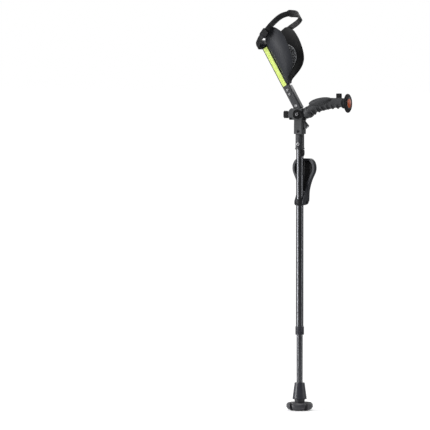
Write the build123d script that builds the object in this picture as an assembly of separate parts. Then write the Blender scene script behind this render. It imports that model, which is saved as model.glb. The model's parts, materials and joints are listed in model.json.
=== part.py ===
from build123d import *
import math
import os

# Forearm crutch. Millimetres, +Z up. The origin is on the shaft's axis where the
# foot's tread meets the ground. +X is the way the handle points, and -Y is the
# outer side, with the pivot's rosette and the reflective strip.

UP = (Align.CENTER, Align.CENTER, Align.MIN)
CORNER = (Align.MIN, Align.MIN, Align.MIN)
FIT = 0.05          # running fit, on the radius
GAP = 0.5           # clearance between bodies that never touch

# Foot and flexible ankle
FOOT_RADIUS = 40.0
FOOT_PETALS = 5
ANKLE_Z = 46.0
BALL_RADIUS = 9.0
SEAT_WALL = 1.6
FERRULE_LOW_Z = 34.0
FERRULE_HIGH_Z = 83.0
FERRULE_LOW_RADIUS = 21.5
FERRULE_HIGH_RADIUS = 15.0

# Telescopic shaft
LOWER_RADIUS = 9.0
LOWER_TOP_Z = 500.0
MAIN_RADIUS = 11.0
MAIN_WALL = 1.5
MAIN_LOW_Z = 236.0
MAIN_TOP_Z = 840.0
COLLAR_LOW_Z = 226.0
COLLAR_HIGH_Z = 251.0
COLLAR_RADIUS = 12.8
SLEEVE_RADIUS = 13.0
SLEEVE_LOW_Z = 777.0
SLEEVE_TOP_Z = 846.0
SLEEVE_BOLT_Z = 793.0

# Housing at the elbow of the crutch
PIVOT_Z = 882.0
HOUSING_HALF = 14.5
HOUSING_LOW_Z = 823.0
HOUSING_CORNER = 4.0
HOUSING_SCREW_Z = 831.0
SLOT_HALF = 12.5            # half the gap between the two ears
OUTER_EAR_Y = -19.0
INNER_EAR_Y = 16.0
EAR_RADIUS = 17.5
EAR_LOW_Z = PIVOT_Z - 17
EYE_RADIUS = 13.5
BOLT_RADIUS = 4.0
INDEX_RADIUS = 11.5
INDEX_LOW_Y = -17.4
INDEX_STOPS = (0, 60, 110)    # degrees of fold at which the pin can lock
PIN_Y = -15.75
PIN_Z = PIVOT_Z - 1
PIN_RADIUS = 1.4
SPRING_RADIUS = 2.3
LOBE_X = -30.0
TORCH_RADIUS = 9.5
TORCH_BORE = 7.8
TORCH_LENGTH = 17.0
TORCH_FLOOR = 6.0           # the cup's back, this far along the barrel
TORCH_DEPTH = 9.0

# Forearm section, leaning back from the pivot
FOREARM_LEAN = 30.0
TUBE_SIDE = 24.0
TUBE_WALL = 2.0
TUBE_OFFSET = 6.0           # the tube's axis lies this far in front of the pivot
TUBE_LOW = 14.0
TUBE_TOP = 90.0
TUBE_SCREWS = (25.0, 65.0, 79.0)
NECK_SCREWS = (101.5, 114.0)
PLUG_HALF = 9.8
RAIL_BACK = -6.0
RAIL_FRONT = 13.0
RAIL_HALF = 10.5
RAIL_TOP = 228.0

# Strap
STRAP_THICK = 2.6
STRAP_HALF = 8.5
PANEL_HALF = 12.5

# Cuff: distances up the forearm, with the trough's half width and half depth there
CUFF_STATIONS = (98, 106, 116, 135, 165, 200, 235, 266)
CUFF_HALF_WIDTH = (12.5, 19, 29, 41, 49, 52, 52, 52)
CUFF_HALF_DEPTH = (8, 13, 24, 44, 57, 59, 59, 59)
CUFF_BACK = 13.2
CUFF_WALL = 3.0
PAD_THICK = 6.0

# Handle: a straight root, one bend and a straight end
HANDLE_RISE = 30.0
HANDLE_END_RISE = 1.0
BEND_X = 44.0
BEND_Z = PIVOT_Z + 15.0
BEND_RADIUS = 130.0
HANDLE_END_RUN = 34.5
BAR_RADIUS = 8.0
GRIP_RADIUS = 17.3
MOUNT_RADIUS = 18.0
DISC_RADIUS = 28.5
BUTTON_RUN = 20.0           # the horn button, this far along the straight end
HORN_HOLES = (153, 180, 207, 250, 270, 90, 112)     # degrees around the disc
DISC_SCREWS = (120, 240, 0)

# Knee rest
KNEE_TURN = -15.0           # the rest is clamped this many degrees round the tube
KNEE_PIN_Y = 15.5
KNEE_PIN_Z = 620.0
KNEE_LEAN = 2.0
KNEE_FLANGE_IN = 13.4
KNEE_FLANGE_OUT = 16.4
KNEE_CLAMP_RADIUS = 12.9

FOREARM = Pos(0, 0, PIVOT_Z) * Rot(0, -FOREARM_LEAN, 0)
KNEE_CLAMP = Rot(0, 0, KNEE_TURN)
KNEE = KNEE_CLAMP * Pos(0, KNEE_PIN_Y, KNEE_PIN_Z) * Rot(-KNEE_LEAN, 0, 0)
HANDLE_ROOT = Pos(BEND_X, 0, BEND_Z) * Rot(0, 90 - HANDLE_RISE, 0)


def box(x0, x1, y0, y1, z0, z1):
    return Pos(x0, y0, z0) * Box(x1 - x0, y1 - y0, z1 - z0, align=CORNER)


def zcyl(radius, z0, z1, x=0.0, y=0.0):
    return Pos(x, y, z0) * Cylinder(radius, z1 - z0, align=UP)


def ycyl(radius, y0, y1, x, z):
    return Pos(x, y0, z) * Rot(-90, 0, 0) * Cylinder(radius, y1 - y0, align=UP)


def xcyl(radius, x0, x1, y, z):
    return Pos(x0, y, z) * Rot(0, 90, 0) * Cylinder(radius, x1 - x0, align=UP)


def ring(outer, inner, z0, z1):
    return zcyl(outer, z0, z1) - zcyl(inner, z0 - 1, z1 + 1)


def turned(points):
    """A solid of revolution about Z from a closed outline of (radius, height)."""
    outline = Plane.XZ * make_face(Polyline(*points, close=True))
    return revolve(outline, axis=Axis.Z)


def y_slab(points, y0, y1):
    """A closed (x, z) outline, thick from y0 to y1."""
    outline = Plane(origin=(0, y0, 0), x_dir=(1, 0, 0), z_dir=(0, -1, 0)) * make_face(points)
    return extrude(outline, amount=-(y1 - y0))


def y_polygon(points, y0, y1):
    return y_slab(Polyline(*points, close=True), y0, y1)


def button_screw(radius, head, length):
    """A button-head screw on Z: its head stands above z=0 and its shank hangs below."""
    shank = zcyl(radius, -length, 0)
    cap = zcyl(radius * 2, 0, head)
    cap = fillet(cap.edges().group_by(Axis.Z)[-1], head * 0.55)
    recess = Pos(0, 0, head * 0.35) * extrude(RegularPolygon(radius * 0.95, 6), amount=head)
    return shank + cap - recess


def outer_screw(x, y, z, radius=2.0, head=2.5, length=8.0):
    """A button-head screw whose head faces -Y, seated at y."""
    return Pos(x, y, z) * Rot(90, 0, 0) * button_screw(radius, head, length)


# ---------------------------------------------------------------- foot and ankle

def foot_pad():
    """A rubber claw foot: flat tread, upturned petals and a neck around the ball seat."""
    rim = FOOT_RADIUS
    bowl = turned([(0, 0), (25, 0), (rim - 5, 4), (rim, 11), (rim - 0.5, 19), (rim - 5, 24),
                   (rim - 9, 21), (22, 15), (16.5, 17), (14.5, 22), (15.5, 33), (14, 36),
                   (14, ANKLE_Z + 1), (0, ANKLE_Z + 1)])
    for petal in range(FOOT_PETALS):
        turn = Rot(0, 0, 360 / FOOT_PETALS * (petal + 0.5))
        notch = box(24, 60, -4.5, 4.5, -1, 30) + zcyl(4.5, -1, 30, x=24)
        bowl -= turn * notch
    for radius in (8, 14, 20):
        bowl -= ring(radius + 1.1, radius, -0.1, 1.4)
    return bowl - Pos(0, 0, ANKLE_Z) * Sphere(BALL_RADIUS + SEAT_WALL + 0.4)


def ball_seat():
    """The plastic cup between the ball and the rubber neck."""
    seat = Sphere(BALL_RADIUS + SEAT_WALL) - Sphere(BALL_RADIUS + FIT)
    return Pos(0, 0, ANKLE_Z) * (seat - box(-20, 20, -20, 20, 3.5, 20))


def ball_stud():
    """The steel ball and the stud that holds it in the ferrule."""
    return Pos(0, 0, ANKLE_Z) * Sphere(BALL_RADIUS) + zcyl(4, ANKLE_Z, 74)


def ferrule():
    """The fluted cone on the leg's end, hollow below so that the foot can tilt."""
    height = FERRULE_HIGH_Z - FERRULE_LOW_Z
    cone = Pos(0, 0, FERRULE_LOW_Z) * Cone(FERRULE_LOW_RADIUS, FERRULE_HIGH_RADIUS, height, align=UP)
    cone = chamfer(cone.edges().group_by(Axis.Z)[0], 1.2)
    flute_count = 14
    for flute in range(flute_count):
        angle = 360 / flute_count * flute
        slope = math.degrees(math.atan((FERRULE_LOW_RADIUS - FERRULE_HIGH_RADIUS) / height))
        groove = Pos(FERRULE_LOW_RADIUS + 1.2, 0, FERRULE_LOW_Z + 6) * Rot(0, -slope, 0)
        groove = groove * Cylinder(2.0, height - 14, align=UP)
        cone -= Rot(0, 0, angle) * groove
    hollow = Pos(0, 0, FERRULE_LOW_Z - 1) * Cone(19.4, 16.4, 19, align=UP)
    stud_hole = zcyl(4, 50, 74)
    leg_socket = ring(LOWER_RADIUS, LOWER_RADIUS - 1.5, 60, FERRULE_HIGH_Z + 1)
    ball_space = Pos(0, 0, ANKLE_Z) * Sphere(BALL_RADIUS + GAP)
    return cone - hollow - ball_space - stud_hole - leg_socket


# ---------------------------------------------------------------- telescopic shaft

def lower_tube():
    return ring(LOWER_RADIUS, LOWER_RADIUS - 1.5, 60, LOWER_TOP_Z)


def guide_bush():
    """The plastic bush on the lower tube's top, running in the main tube."""
    flange = zcyl(MAIN_RADIUS - MAIN_WALL - FIT, LOWER_TOP_Z, LOWER_TOP_Z + 14)
    return flange + zcyl(LOWER_RADIUS - 1.5, LOWER_TOP_Z - 16, LOWER_TOP_Z) - zcyl(4, 400, 600)


def collet():
    """The slit clamp sleeve that the lock collar squeezes onto the lower tube."""
    body = ring(MAIN_RADIUS - MAIN_WALL, LOWER_RADIUS + FIT, COLLAR_LOW_Z + 3, 262)
    for slit in range(3):
        body -= Rot(0, 0, 120 * slit) * box(0, 20, -0.7, 0.7, COLLAR_LOW_Z, 250)
    return body


def lock_collar():
    """The knurled twist collar around the main tube's end."""
    body = zcyl(COLLAR_RADIUS, COLLAR_LOW_Z, COLLAR_HIGH_Z)
    body = fillet(body.edges().filter_by(GeomType.CIRCLE), 1.4)
    rib_count = 24
    for rib in range(rib_count):
        cut = zcyl(0.9, COLLAR_LOW_Z + 4, COLLAR_HIGH_Z - 6, x=COLLAR_RADIUS + 0.25)
        body -= Rot(0, 0, 360 / rib_count * rib) * cut
    body -= zcyl(LOWER_RADIUS + 0.4, 220, 260)
    return body - zcyl(MAIN_RADIUS + FIT, COLLAR_LOW_Z + 2.5, 260)


def main_tube():
    body = ring(MAIN_RADIUS, MAIN_RADIUS - MAIN_WALL, MAIN_LOW_Z, MAIN_TOP_Z)
    body -= ycyl(2.5, -20, 20, 0, SLEEVE_BOLT_Z)
    return body - ycyl(2, -20, 20, 0, HOUSING_SCREW_Z)


def catch_clip():
    """The small spring clip on the tube that keeps the knee rest from rattling."""
    band = ring(MAIN_RADIUS + 1.6, MAIN_RADIUS, 757, 776)
    band &= box(0, 20, -11, 12, 750, 780)
    nose = box(MAIN_RADIUS, MAIN_RADIUS + 3, -3.5, 3.5, 759, 775) - zcyl(MAIN_RADIUS + 0.5, 750, 780)
    nose = nose - Pos(MAIN_RADIUS + 3, 0, 759) * Rot(0, 45, 0) * Box(4, 10, 4)
    return band + nose


def upper_sleeve():
    """The sleeve that joins the shaft to the housing, with a lip at its lower end."""
    body = zcyl(SLEEVE_RADIUS, SLEEVE_LOW_Z, SLEEVE_TOP_Z)
    lip = zcyl(SLEEVE_RADIUS + 1.2, SLEEVE_LOW_Z, SLEEVE_LOW_Z + 5)
    body += fillet(lip.edges().filter_by(GeomType.CIRCLE), 0.8)
    body -= zcyl(MAIN_RADIUS, SLEEVE_LOW_Z - 1, SLEEVE_TOP_Z + 1)
    body -= ycyl(2.5, -20, 20, 0, SLEEVE_BOLT_Z)
    return body - ycyl(2, -20, 20, 0, HOUSING_SCREW_Z)


def sleeve_bolt():
    """The cross bolt through sleeve and tube, with its domed nut on the inner side."""
    bolt = Pos(0, -SLEEVE_RADIUS - 0.5, SLEEVE_BOLT_Z) * Rot(90, 0, 0) * button_screw(2.5, 3, 29)
    seat_cut = zcyl(SLEEVE_RADIUS, SLEEVE_BOLT_Z - 8, SLEEVE_BOLT_Z + 8)
    outer_seat = ycyl(5, -SLEEVE_RADIUS - 0.5, -8, 0, SLEEVE_BOLT_Z) - seat_cut
    nut = ycyl(5, 8, SLEEVE_RADIUS + 5, 0, SLEEVE_BOLT_Z) - seat_cut
    return bolt + outer_seat + nut


# ---------------------------------------------------------------- housing and pivot

def swing_space():
    """The space between the ears that the forearm tube sweeps as it folds back."""
    rear = [(-20, PIVOT_Z - 35), (-4, PIVOT_Z - 16.2), (-4, PIVOT_Z + 30), (-20, PIVOT_Z + 30)]
    space = y_polygon(rear, -SLOT_HALF, SLOT_HALF)
    space += ycyl(EYE_RADIUS + 0.6, -SLOT_HALF, SLOT_HALF, 0, PIVOT_Z)
    return space + box(-5, 20, -SLOT_HALF, SLOT_HALF, PIVOT_Z, PIVOT_Z + 40)


def housing_body():
    """The block under the ears, bored for the sleeve and hollow for the lamp's cell."""
    plan = Pos(0, 0, HOUSING_LOW_Z) * RectangleRounded(2 * HOUSING_HALF, 2 * HOUSING_HALF, HOUSING_CORNER)
    body = extrude(plan, amount=PIVOT_Z - HOUSING_LOW_Z)
    body -= zcyl(SLEEVE_RADIUS, HOUSING_LOW_Z - 1, SLEEVE_TOP_Z)
    body -= zcyl(7, SLEEVE_TOP_Z - 1, 861)
    body -= ycyl(2, -20, 20, 0, HOUSING_SCREW_Z)
    body -= box(12.0, 20, -4.7, 4.7, PIVOT_Z - 17.7, PIVOT_Z - 8.3)
    return body - torch_axis() * Cylinder(3, 30, align=UP)


def outer_ear():
    """The thick outer ear: a round cheek and a rounded rear lobe for the release pin."""
    top = PIVOT_Z + 17.5
    outline = [(HOUSING_HALF, EAR_LOW_Z), (HOUSING_HALF, top), (-21, top), (-27, top - 5),
               (LOBE_X, PIVOT_Z + 6), (LOBE_X, PIVOT_Z - 9), (-26, EAR_LOW_Z)]
    ear = y_polygon(outline, OUTER_EAR_Y, -SLOT_HALF)
    ear = fillet(ear.edges().filter_by(Axis.Y), 2.2)
    face_edges = ear.edges().group_by(Axis.Y)[0]
    return fillet(face_edges, 1.2)


def pin_channel():
    """The bore for the lock pin, wider where its spring sits."""
    bore = xcyl(PIN_RADIUS + FIT, LOBE_X - 1, 0, PIN_Y, PIN_Z)
    return bore + xcyl(SPRING_RADIUS + 0.2, -26, -15, PIN_Y, PIN_Z)


def housing_left():
    """The outer half shell, whose ear carries the index disc and the pin.

    A shallow track on the ear's inner face clears the head of the tube's lowest screw."""
    half = housing_body() & box(-40, 40, -30, 0, 800, 920)
    half = half + outer_ear() - swing_space()
    half -= ycyl(INDEX_RADIUS + GAP, INDEX_LOW_Y - 0.3, -SLOT_HALF, 0, PIVOT_Z)
    half -= ycyl(BOLT_RADIUS + 0.02, -30, 0, 0, PIVOT_Z)
    half -= pin_channel()
    half -= ycyl(1.6, -30, -SLOT_HALF, -22, PIVOT_Z - 13)
    reach = math.hypot(TUBE_SCREWS[0], TUBE_OFFSET)
    path_y = -SLOT_HALF - 0.8
    path = ycyl(reach + 4.7, path_y, -SLOT_HALF, 0, PIVOT_Z) - ycyl(reach - 4.7, -30, 0, 0, PIVOT_Z)
    return half - path


def housing_right():
    """The inner half shell with its plain round ear."""
    half = housing_body() & box(-40, 40, 0, 30, 800, 920)
    ear = ycyl(EAR_RADIUS, SLOT_HALF, INNER_EAR_Y, 0, PIVOT_Z)
    ear += box(-HOUSING_HALF, HOUSING_HALF, SLOT_HALF, INNER_EAR_Y, EAR_LOW_Z, PIVOT_Z)
    ear += box(0, HOUSING_HALF, SLOT_HALF, INNER_EAR_Y, EAR_LOW_Z, PIVOT_Z + 17.5)
    half = half + ear - swing_space() - ycyl(BOLT_RADIUS + 0.02, 0, 30, 0, PIVOT_Z)
    return half - box(HOUSING_HALF, 40, 0, 40, 800, 920)


def housing_screws():
    """The through screw at the foot of the housing and the short one in the lobe."""
    through = outer_screw(0, -HOUSING_HALF, HOUSING_SCREW_Z, radius=1.98, length=2 * HOUSING_HALF - 2)
    return [through, outer_screw(-22, OUTER_EAR_Y, PIVOT_Z - 13, radius=1.6, length=4.8)]


def pivot_bolt():
    """The bolt through both ears and the knuckle, with a button head on the outer side."""
    head_y = OUTER_EAR_Y - 2.5
    shank = ycyl(BOLT_RADIUS, head_y, INNER_EAR_Y + 5, 0, PIVOT_Z)
    cap = Pos(0, head_y, PIVOT_Z) * Rot(90, 0, 0) * fillet_top(zcyl(5, 0, 3), 1.6)
    recess = Pos(0, head_y - 1, PIVOT_Z) * Rot(90, 0, 0) * extrude(RegularPolygon(2.6, 6), amount=4)
    return shank + cap - recess


def fillet_top(solid, radius):
    return fillet(solid.edges().group_by(Axis.Z)[-1], radius)


def pivot_nut():
    hexagon = Pos(0, INNER_EAR_Y, PIVOT_Z) * Rot(-90, 0, 0) * extrude(RegularPolygon(7.5, 6), amount=5)
    return hexagon - ycyl(BOLT_RADIUS, 0, 30, 0, PIVOT_Z)


def pivot_washer():
    """The thin bearing washer between the knuckle and the inner ear."""
    disc = ycyl(9, 12.05, SLOT_HALF, 0, PIVOT_Z)
    return disc - ycyl(BOLT_RADIUS, 0, 30, 0, PIVOT_Z)


def rosette_cover():
    """The round cover on the outer ear, with radial petal slots around a domed boss."""
    plate = Pos(0, OUTER_EAR_Y, PIVOT_Z) * Rot(90, 0, 0) * fillet_top(zcyl(14.4, 0, 2.5), 0.8)
    boss = Pos(0, OUTER_EAR_Y, PIVOT_Z) * Rot(90, 0, 0) * fillet_top(zcyl(7, 0, 4), 1.2)
    slot_count = 16
    petal = Pos(10.2, 0, 1.0) * extrude(SlotOverall(5.4, 1.6), amount=5)
    cover = plate + boss
    for slot in range(slot_count):
        cover -= Pos(0, OUTER_EAR_Y, PIVOT_Z) * Rot(90, 0, 0) * Rot(0, 0, 360 / slot_count * slot) * petal
    cover -= ycyl(5.2, -30, OUTER_EAR_Y - 2.5, 0, PIVOT_Z)
    return cover - ycyl(BOLT_RADIUS, -30, 0, 0, PIVOT_Z)


# ---------------------------------------------------------------- index pin

def release_knob():
    """The lobed pull on the lock pin's end, beside the path of the forearm tube."""
    grip = [(-45, PIN_Z - 7), (-42, PIN_Z - 11.5), (-37, PIN_Z - 10), (-34, PIN_Z - 11.5),
            (-31, PIN_Z - 9), (-31, PIN_Z + 9), (-34, PIN_Z + 11.5), (-37, PIN_Z + 10),
            (-42, PIN_Z + 11.5), (-45, PIN_Z + 7)]
    knob = y_polygon(grip, -19.5, -13)
    knob = fillet(knob.edges().filter_by(Axis.Y), 1.3)
    return knob - xcyl(PIN_RADIUS, -40, 0, PIN_Y, PIN_Z)


def lock_pin():
    """The pin, drawn back just clear of the index disc, with a collar for its spring."""
    tip = -INDEX_RADIUS - 0.4
    shaft = xcyl(PIN_RADIUS, -40, tip, PIN_Y, PIN_Z)
    return shaft + xcyl(SPRING_RADIUS, -17.0, -15.4, PIN_Y, PIN_Z)


def lock_spring():
    """The spring behind the pin's collar, drawn compressed as a closed tube."""
    coil = xcyl(SPRING_RADIUS, -25.9, -21.3, PIN_Y, PIN_Z)
    return coil - xcyl(PIN_RADIUS + 0.15, -30, -10, PIN_Y, PIN_Z)


# ---------------------------------------------------------------- torch

def torch_axis():
    """The torch's frame: +Z runs out of the housing's front, 50 degrees below level."""
    return Pos(11.5, 0, PIVOT_Z - 27) * Rot(0, 140, 0)


def torch_body():
    """The slanted barrel on the housing's front."""
    barrel = fillet_top(Cylinder(TORCH_RADIUS, TORCH_LENGTH, align=UP), 1.0)
    cavity = Pos(0, 0, TORCH_FLOOR) * Cylinder(TORCH_BORE, 20, align=UP)
    body = torch_axis() * (barrel - cavity - Pos(0, 0, -1) * Cylinder(3, 20, align=UP))
    return body - box(-10, HOUSING_HALF, -20, 20, 800, 900)


def torch_reflector():
    """The bright conical cup behind the lens."""
    cup = Pos(0, 0, TORCH_FLOOR) * Cylinder(TORCH_BORE - 0.05, TORCH_DEPTH, align=UP)
    cup -= Pos(0, 0, TORCH_FLOOR + 1) * Cone(3.4, TORCH_BORE - 0.6, TORCH_DEPTH, align=UP)
    cup -= Cylinder(3, 30, align=UP)
    return torch_axis() * cup - box(-10, HOUSING_HALF, -20, 20, 800, 900)


def torch_led():
    body = Pos(0, 0, 1) * Cylinder(2.9, TORCH_FLOOR, align=UP)
    return torch_axis() * (body + Pos(0, 0, TORCH_FLOOR + 1) * Sphere(2.4))


def torch_lens():
    lens = Pos(0, 0, TORCH_FLOOR + TORCH_DEPTH) * fillet_top(Cylinder(TORCH_BORE - 0.05, 1.8, align=UP), 0.8)
    return torch_axis() * lens


def torch_cell():
    """The button cell that feeds the lamp, in the housing above the sleeve."""
    return fillet_top(zcyl(6, SLEEVE_TOP_Z + 3, SLEEVE_TOP_Z + 9), 0.8)


def torch_switch():
    """The square push switch above the torch."""
    key = box(13.5, 17.2, -4.4, 4.4, PIVOT_Z - 17.4, PIVOT_Z - 8.6)
    return fillet(key.edges().group_by(Axis.X)[-1], 1.0)


# ---------------------------------------------------------------- forearm section
# These are drawn upright, with z the distance up the forearm from the pivot and x
# the distance in front of it, and FOREARM leans them back.

def forearm_tube():
    """The square tube, with holes for its screws."""
    outer = Pos(TUBE_OFFSET, 0, TUBE_LOW) * RectangleRounded(TUBE_SIDE, TUBE_SIDE, 4)
    bore_side = TUBE_SIDE - 2 * TUBE_WALL
    inner = Pos(TUBE_OFFSET, 0, TUBE_LOW) * RectangleRounded(bore_side, bore_side, 2.5)
    body = extrude(outer, amount=TUBE_TOP - TUBE_LOW) - extrude(inner, amount=TUBE_TOP)
    for height in TUBE_SCREWS:
        body -= ycyl(2, -20, 0, TUBE_OFFSET, height)
    return FOREARM * body


def forearm_knuckle():
    """The eye on the pivot, its index disc and the plug inside the square tube."""
    eye = ycyl(EYE_RADIUS, -12, 12, 0, 0)
    neck = box(-5, 14, -PLUG_HALF, PLUG_HALF, 0, TUBE_LOW)
    plug = box(TUBE_OFFSET - PLUG_HALF, TUBE_OFFSET + PLUG_HALF, -PLUG_HALF, PLUG_HALF, TUBE_LOW, 46)
    plug = fillet(plug.edges().filter_by(Axis.Z), 2.6)
    disc = ycyl(INDEX_RADIUS, INDEX_LOW_Y, -11, 0, 0)
    body = eye + neck + plug + disc - ycyl(BOLT_RADIUS + FIT, -30, 30, 0, 0)
    rear = 180 + FOREARM_LEAN
    for stop in INDEX_STOPS:
        notch = xcyl(PIN_RADIUS + 0.2, INDEX_RADIUS - 2.2, 20, PIN_Y, PIVOT_Z - PIN_Z)
        body -= Rot(0, rear + stop, 0) * notch
    return FOREARM * (body - ycyl(2, -20, 0, TUBE_OFFSET, TUBE_SCREWS[0]))


def forearm_screws():
    """The three screws on the tube's outer face; the lowest has a flat head that clears the ear."""
    face = -TUBE_SIDE / 2
    low, *upper = TUBE_SCREWS
    screws = [FOREARM * outer_screw(TUBE_OFFSET, face, low, head=1.0, length=9)]
    return screws + [FOREARM * outer_screw(TUBE_OFFSET, face, height, length=9) for height in upper]


def cuff_spine():
    """The rail up the cuff's back, whose lower end plugs into the tube."""
    rail = box(RAIL_BACK, RAIL_FRONT, -RAIL_HALF, RAIL_HALF, TUBE_TOP, RAIL_TOP)
    rail = fillet(rail.edges().filter_by(Axis.Z), 2.0)
    rail = fillet(rail.edges().group_by(Axis.Z)[-1], 3.0)
    rail -= box(RAIL_BACK + 2.8, RAIL_BACK + 16.2, -20, -RAIL_HALF + 0.8, 94, 225)
    plug = box(TUBE_OFFSET - PLUG_HALF, TUBE_OFFSET + PLUG_HALF, -PLUG_HALF, PLUG_HALF, 56, TUBE_TOP)
    plug = fillet(plug.edges().filter_by(Axis.Z), 2.6)
    rail = rail + plug
    for height in TUBE_SCREWS[1:]:
        rail -= ycyl(2, -20, -3, TUBE_OFFSET, height)
    for height in NECK_SCREWS:
        rail -= xcyl(1.5, 3, 20, 0, height)
    return FOREARM * rail


def reflector_strip():
    """The reflective strip let into the rail's outer side."""
    strip = box(RAIL_BACK + 3, RAIL_BACK + 16, -RAIL_HALF - 0.2, -RAIL_HALF + 0.8, 94.3, 224.7)
    return FOREARM * strip


def trough(inset, stations, back=CUFF_BACK):
    """The trough's solid of elliptical sections, drawn in by inset."""
    sections = []
    for height, half_width, half_depth in stations:
        centre = Plane(origin=(back + half_depth, 0, height), x_dir=(1, 0, 0), z_dir=(0, 0, 1))
        sections.append(centre * Ellipse(half_depth - inset, half_width - inset))
    return loft(sections)


def cuff_profile():
    """The cuff seen from the side: straight back, raised rounded top, leaf-shaped front."""
    back = CUFF_BACK
    edge = Spline((back, 234), (24, 241), (40, 251), (60, 257), (78, 252), (88, 235),
                  (90, 208), (87, 180), (80, 152), (66, 130), (48, 118), (32, 111), (22, 104))
    outline = [edge, Line((22, 104), (19, 95)), Line((19, 95), (back, 95)), Line((back, 95), (back, 234))]
    return y_slab(outline, -60, 60)


def cuff_shell():
    """The moulded trough with its solid neck, screwed to the rail."""
    stations = list(zip(CUFF_STATIONS, CUFF_HALF_WIDTH, CUFF_HALF_DEPTH))
    shell = trough(0, stations) & cuff_profile()
    inside = [(104, 14, 8)] + stations[2:]
    shell -= trough(CUFF_WALL, inside)
    neck = box(CUFF_BACK, 19, -12, 12, 95, 119) & cuff_profile()
    shell += neck
    shell -= box(-20, CUFF_BACK, -60, 60, 80, 240)
    for height in NECK_SCREWS:
        shell -= xcyl(1.5, 0, 40, 0, height)
        shell -= xcyl(3.2, 18, 40, 0, height)
    return FOREARM * shell


def cuff_screws():
    """The two sunk screws that hold the cuff's neck on the rail."""
    screws = []
    for height in NECK_SCREWS:
        screw = Pos(18, 0, height) * Rot(0, 90, 0) * button_screw(1.5, 1.6, 12)
        screws.append(FOREARM * screw)
    return screws


def cuff_pad():
    """The mesh pad lining the trough, as a plain closed shell."""
    stations = list(zip(CUFF_STATIONS, CUFF_HALF_WIDTH, CUFF_HALF_DEPTH))[2:]
    layer = trough(CUFF_WALL + 0.4, stations) - trough(CUFF_WALL + 0.4 + PAD_THICK, stations)
    edge = Spline((8, 123), (27, 126), (51, 147), (62, 172), (64, 199), (57, 220), (40, 231),
                  (22, 227), (8, 219))
    return FOREARM * (layer & y_slab([edge, Line((8, 219), (8, 123))], -60, 60))


# ---------------------------------------------------------------- strap
# Also drawn upright. The strap is a flat ribbon on edge, along a line through
# (x, y, z) points.

STRAP_LINE = [(50, -61, 254), (72, -59, 262), (92, -54, 268), (112, -46, 271.5), (126, -33, 270),
              (134.5, -5, 266), (135.5, 24, 260), (126, 41, 253), (108, 50, 250), (87, 55, 250),
              (68, 58, 249), (56, 58.5, 247)]
RETURN_LINE = [(41, -61, 250.5), (30, -60, 248), (12, -49, 243), (-3, -34, 239), (-10, -12, 236)]


def ribbon(points, half_widths, thick, shift=0.0):
    """A ribbon on edge, with a (share of the length, half width) table along it."""
    line = Spline(*points)
    count = 6 * len(points)
    sections = []
    for step in range(count + 1):
        share = step / count
        tangent = line % share
        across = Vector(tangent.Y, -tangent.X, 0).normalized()
        place = Plane(origin=line @ share + across * shift, x_dir=across, z_dir=tangent)
        sections.append(place * Rectangle(thick, 2 * width_at(share, half_widths)))
    return loft(sections, ruled=True)


def width_at(share, table):
    """Straight-line reading of a (share, value) table."""
    for (low, low_value), (high, high_value) in zip(table, table[1:]):
        if share <= high:
            return low_value + (high_value - low_value) * (share - low) / (high - low)
    return table[-1][1]


def strap_ribbon():
    panel = [(0, STRAP_HALF), (0.36, STRAP_HALF), (0.40, PANEL_HALF), (0.66, PANEL_HALF),
             (0.70, STRAP_HALF), (1, STRAP_HALF)]
    return ribbon(STRAP_LINE, panel, STRAP_THICK)


def strap():
    """The front strap: from the buckle, round the front in a wider panel, to the rivets."""
    return FOREARM * strap_ribbon()


def strap_rivets():
    """The two rivets that fix the strap's inner end to the cuff's wing."""
    rivets = []
    for x, z in ((60, 247.6), (68, 249)):
        rivets.append(FOREARM * (ycyl(3, 58, 62, x, z) - strap_ribbon()))
    return rivets


def strap_return():
    """The doubled lower run, from the buckle down to the lug behind the spine."""
    table = [(0, STRAP_HALF - 1), (1, STRAP_HALF - 1)]
    return [FOREARM * ribbon(RETURN_LINE, table, 2.0, shift) for shift in (-2.0, 2.0)]


def buckle_place():
    """The buckle's frame at the strap's outer end: +X runs along the strap."""
    start = Vector(*RETURN_LINE[0])
    along = Vector(*STRAP_LINE[0]) - start
    return Plane(origin=start, x_dir=along, z_dir=Vector(0, 0, 1).cross(along).cross(along) * -1)


def strap_buckle():
    """The open box buckle that both runs of the strap pass through."""
    frame = Box(19, 10.4, 21)
    frame = fillet(frame.edges().filter_by(Axis.Z), 1.5)
    frame -= Box(30, 7.8, 17.8)
    frame = FOREARM * buckle_place().location * Pos(5, 0, 0) * frame
    for run in strap_return():
        frame -= run
    return frame


def buckle_bar():
    """The light metal bar across the buckle's lower mouth."""
    bar = Box(4, 10.4, 20) - Box(10, 8.4, 17.4)
    bar = FOREARM * buckle_place().location * Pos(-6.55, 0, 0) * bar
    for run in strap_return():
        bar -= run
    return bar


def strap_lug():
    """The black lug behind the top of the spine that the doubled run hooks into."""
    lug = box(RAIL_BACK - 9, RAIL_FRONT - 1, -17, 9, RAIL_TOP, RAIL_TOP + 20)
    lug = FOREARM * fillet(lug.edges().filter_by(Axis.Y), 4)
    for run in strap_return():
        lug -= run
    return lug


# ---------------------------------------------------------------- handle

def handle_path(start, end_run):
    """The handle's centre line, from start (before the bend) to end_run after it."""
    low = math.radians(HANDLE_RISE)
    high = math.radians(HANDLE_END_RISE)
    mid = (low + high) / 2

    def on_arc(angle):
        x = BEND_X + BEND_RADIUS * (math.sin(low) - math.sin(angle))
        return (x, 0, BEND_Z + BEND_RADIUS * (math.cos(angle) - math.cos(low)))

    first = (BEND_X + start * math.cos(low), 0, BEND_Z + start * math.sin(low))
    end = on_arc(high)
    last = (end[0] + end_run * math.cos(high), 0, end[2] + end_run * math.sin(high))
    root = Line(first, on_arc(low))
    return Wire([root, ThreePointArc(on_arc(low), on_arc(mid), end), Line(end, last)])


def swept(radius, start, end_run):
    path = handle_path(start, end_run)
    return sweep(Plane(origin=path @ 0, z_dir=path % 0) * Circle(radius), path=path)


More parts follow.
